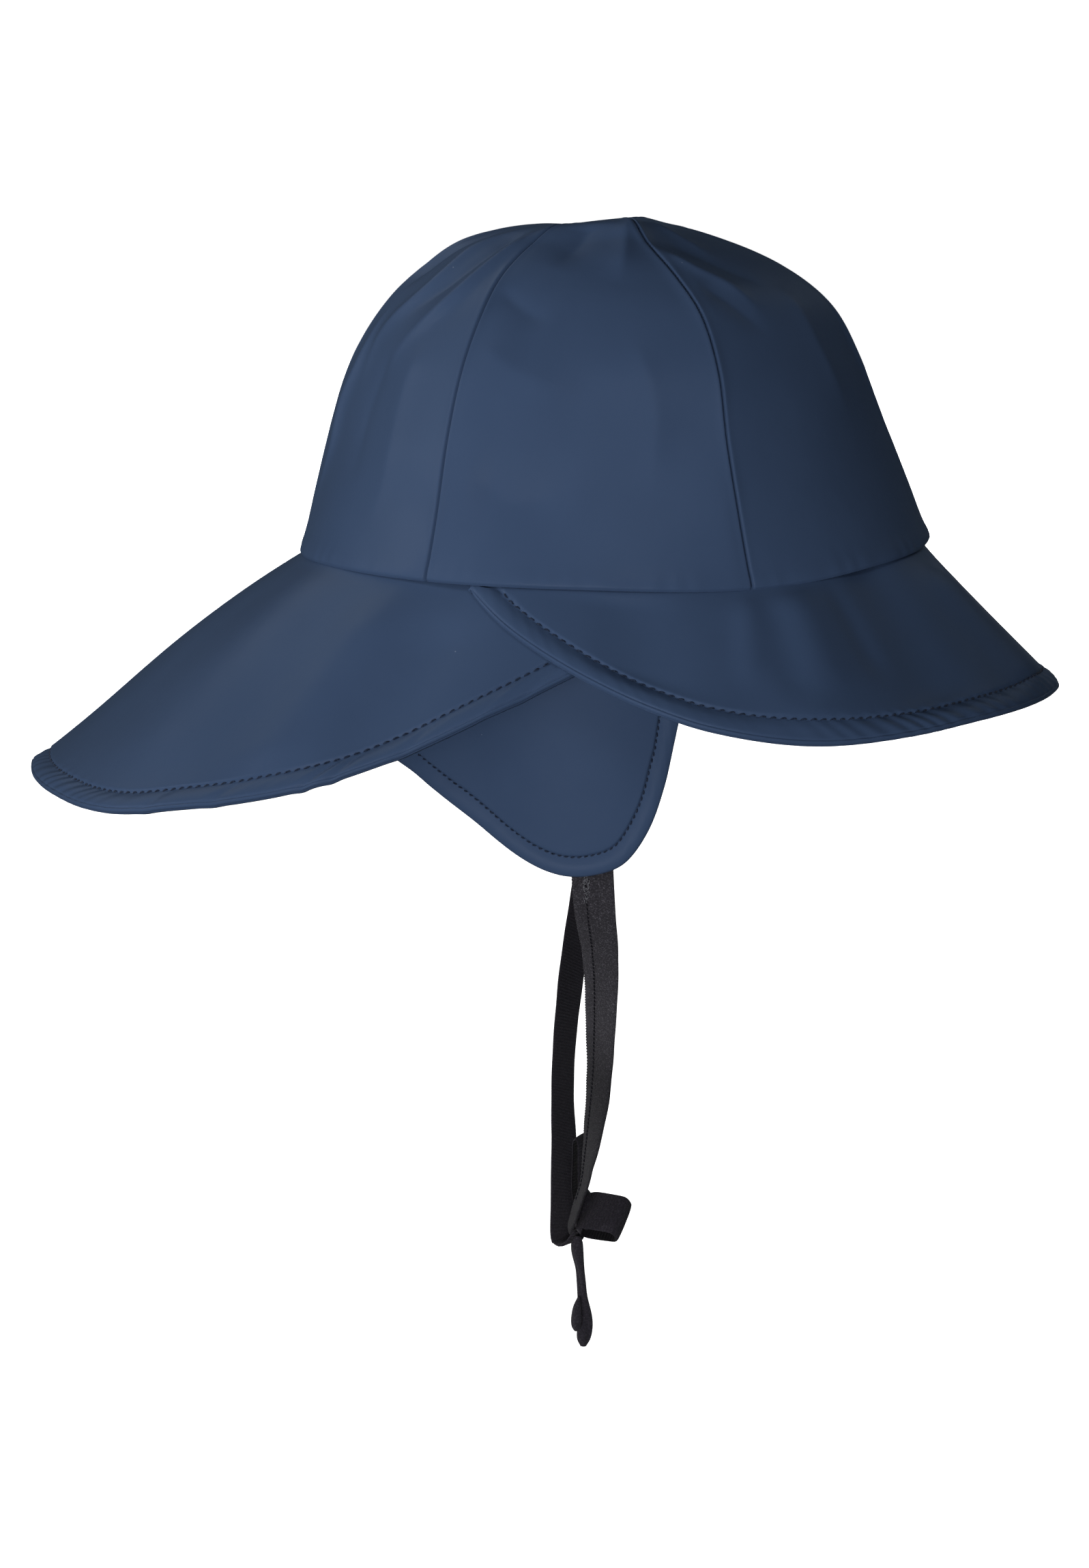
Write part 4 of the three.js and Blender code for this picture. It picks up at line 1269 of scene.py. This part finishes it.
TAIL_FOLD = [
    (-9.0, -2.4, -223.0, 1, 0.8),
    (-9.5, -2.7, -226.0, 2.7, 1.6),
    (-9.7, -2.8, -229.4, 3.5, 1.9),
    (-9.8, -2.8, -231.9, 2.9, 1.7),
    (-9.9, -2.7, -233.3, 1.0, 0.8),
]

# Rolled ribbon: rings for each row, points round a ring, and how much each groove turns and each wave adds.
RINGS_A_ROW = 26
ROLL_AROUND = 44
GROOVE_TURN = 0.16
ROLL_WAVE = 0.035
ROLL_UV = 1.2


def make_rolled(node_name, rows, folds, depth):
    """Rolled ribbon: an oval section along its rows, grooved along its length like folded cloth.

    At an angle round it the oval is drawn in by depth * (half + half the cosine of folds times the angle)
    cubed, where the grooves turn slowly along the roll.
    """
    at = np.linspace(0, len(rows) - 1, RINGS_A_ROW * (len(rows) - 1))
    value = row_curve(rows, at)
    middle = value[:, :3]
    forward = unit(np.gradient(middle, axis=0))
    across = unit(np.array([1.0, 0, 0]) - forward * forward[:, :1])
    through = np.cross(forward, across)
    turn = np.arange(ROLL_AROUND) * 2 * np.pi / ROLL_AROUND
    run = running_length(middle)[:, None]
    oval = 1 - depth * (0.5 + 0.5 * np.cos(folds * turn + GROOVE_TURN * run)) ** 3
    oval = oval + ROLL_WAVE * np.sin(run / 1.9 + 2 * turn)
    x = value[:, 3:4] / 2 * np.cos(turn) * oval
    y = value[:, 4:5] / 2 * np.sin(turn) * oval
    points = middle[:, None] + across[:, None] * x[..., None] + through[:, None] * y[..., None]
    uv = stack(turn * ROLL_UV, run, 0.0)[..., :2]
    faces = ring_faces(*points.shape[:2])
    make_piece(node_name + "_ribbon", points, faces, smooth_ribbon, uv, [node_name])


make_rolled("strap_knot", KNOT, folds=3, depth=0.2)
make_rolled("strap_tail", TAIL, folds=2, depth=0.35)
make_rolled("tail_fold", TAIL_FOLD, folds=2, depth=0.25)


# The floor, the light and the camera. Their lengths are in metres.
FLOOR_Z = -0.2455
FLOOR_MIDDLE = 0.02
FLOOR_BEND = 1.5
WALL_AWAY = 6.0
WALL_HEIGHT = 7.0
FLOOR_AROUND = 64
CAMERA_TURN = 5.0
CAMERA_RISE = 8.0
CAMERA_AWAY = 1.5
CAMERA_LENS = 119.9
AIM_RIGHT = -0.0192
AIM_UP = -0.0685


def paper():
    """Plain pale paper that looks as white in shade as in light."""
    material, _, shader = new_material("paper_floor", 0.9, 0.0, 0.1)
    shader.inputs["Base Color"].default_value = (0.93, 0.93, 0.93, 1)
    shader.inputs["Emission Color"].default_value = (1, 1, 1, 1)
    shader.inputs["Emission Strength"].default_value = 0.95
    return material


def make_floor():
    """A round pale floor that curves up into a wall all the way round, far from the hat.

    Its profile is a level line, a quarter circle and an upright line, carried round the hat's axis.
    """
    turn = np.linspace(0, np.pi / 2, 16)
    bend_out = WALL_AWAY - FLOOR_BEND + FLOOR_BEND * np.sin(turn)
    out = np.concatenate([[FLOOR_MIDDLE], bend_out, [WALL_AWAY]])[:, None]
    up = np.concatenate([[0.0], FLOOR_BEND * (1 - np.cos(turn)), [WALL_HEIGHT]])[:, None] + FLOOR_Z
    around = np.arange(FLOOR_AROUND) * 2 * np.pi / FLOOR_AROUND
    points = stack(out * np.cos(around), out * np.sin(around), up).reshape(-1, 3)
    i, k = np.meshgrid(np.arange(len(out) - 1), np.arange(FLOOR_AROUND), indexing="ij")
    a = (i * FLOOR_AROUND + k).ravel()
    b = (i * FLOOR_AROUND + (k + 1) % FLOOR_AROUND).ravel()
    faces = np.stack([a, a + FLOOR_AROUND, b + FLOOR_AROUND, b], axis=-1).tolist()
    mesh = bpy.data.meshes.new("floor")
    mesh.from_pydata(points.tolist(), [], faces + [list(range(FLOOR_AROUND))])
    mesh.polygons.foreach_set("use_smooth", np.ones(len(mesh.polygons), bool))
    mesh.materials.append(paper())
    floor = bpy.data.objects.new("floor", mesh)
    bpy.context.collection.objects.link(floor)
    floor.visible_diffuse = False
    floor.visible_glossy = False
    floor.visible_shadow = False


# name, place, aim, size, watts, colour
CLOTH_LIGHTS = [
    ("key_light", (-2.6, -0.6, 0.85), (0, 0, -0.03), (1.6, 1.4), 66, (1.0, 0.99, 0.97)),
    ("front_light", (-0.45, -2.5, -0.35), (0, 0, -0.03), (1.6, 1.2), 74, (0.98, 0.98, 1.0)),
    ("upper_light", (0.5, -2.1, 1.4), (0, 0, -0.03), (0.8, 0.6), 15, (1.0, 1.0, 1.0)),
    ("back_light", (0.5, 2.6, 0.4), (0, 0, -0.03), (1.6, 1.2), 60, (1.0, 0.99, 0.97)),
]
GLOSS_LIGHTS = [
    ("brim_gloss", (1.3, 1.6, 1.45), (0, 0, 0.0), (1.0, 0.9), 0.8, (0.7, 0.85, 1.0)),
    ("gloss_light", (-1.5, 1.2, 1.9), (0, 0, 0.0), (1.5, 1.2), 3.2, (0.8, 0.9, 1.0)),
]


def soft_light(name, place, aim, size, watts, colour, glossy):
    """A soft light that faces a point. It lights either the cloth's own colour or only the gloss on it."""
    light = bpy.data.lights.new(name, "AREA")
    light.shape = "RECTANGLE"
    light.size, light.size_y = size
    light.energy = watts
    light.color = colour
    lamp = bpy.data.objects.new(name, light)
    lamp.location = place
    lamp.rotation_euler = (Vector(aim) - Vector(place)).to_track_quat("-Z", "Y").to_euler()
    lamp.visible_diffuse = not glossy
    lamp.visible_glossy = glossy
    bpy.context.collection.objects.link(lamp)


def light_studio():
    """The lights, and a faint blue light from all sides."""
    for row in CLOTH_LIGHTS:
        soft_light(*row, glossy=False)
    for row in GLOSS_LIGHTS:
        soft_light(*row, glossy=True)
    world = bpy.data.worlds.new("studio")
    world.use_nodes = True
    background = world.node_tree.nodes["Background"]
    background.inputs["Color"].default_value = (0.62, 0.8, 1.0, 1)
    background.inputs["Strength"].default_value = 0.06
    bpy.context.scene.world = world
    bpy.context.scene.view_settings.view_transform = "Standard"


def make_camera():
    """The camera on the hat's right side, turned and raised a little, and aimed below the opening."""
    turn, rise = np.radians([CAMERA_TURN, CAMERA_RISE])
    back_way = Vector((np.sin(turn) * np.cos(rise), -np.cos(turn) * np.cos(rise), np.sin(rise)))
    right_way = Vector((np.cos(turn), np.sin(turn), 0))
    up_way = back_way.cross(right_way)
    lens = bpy.data.cameras.new("camera")
    lens.lens = CAMERA_LENS
    lens.sensor_width = 36
    lens.clip_end = 40
    camera = bpy.data.objects.new("camera", lens)
    camera.location = back_way * CAMERA_AWAY
    aim = right_way * AIM_RIGHT + up_way * AIM_UP
    camera.rotation_euler = (aim - camera.location).to_track_quat("-Z", "Y").to_euler()
    bpy.context.collection.objects.link(camera)
    bpy.context.scene.camera = camera


make_floor()
light_studio()
make_camera()
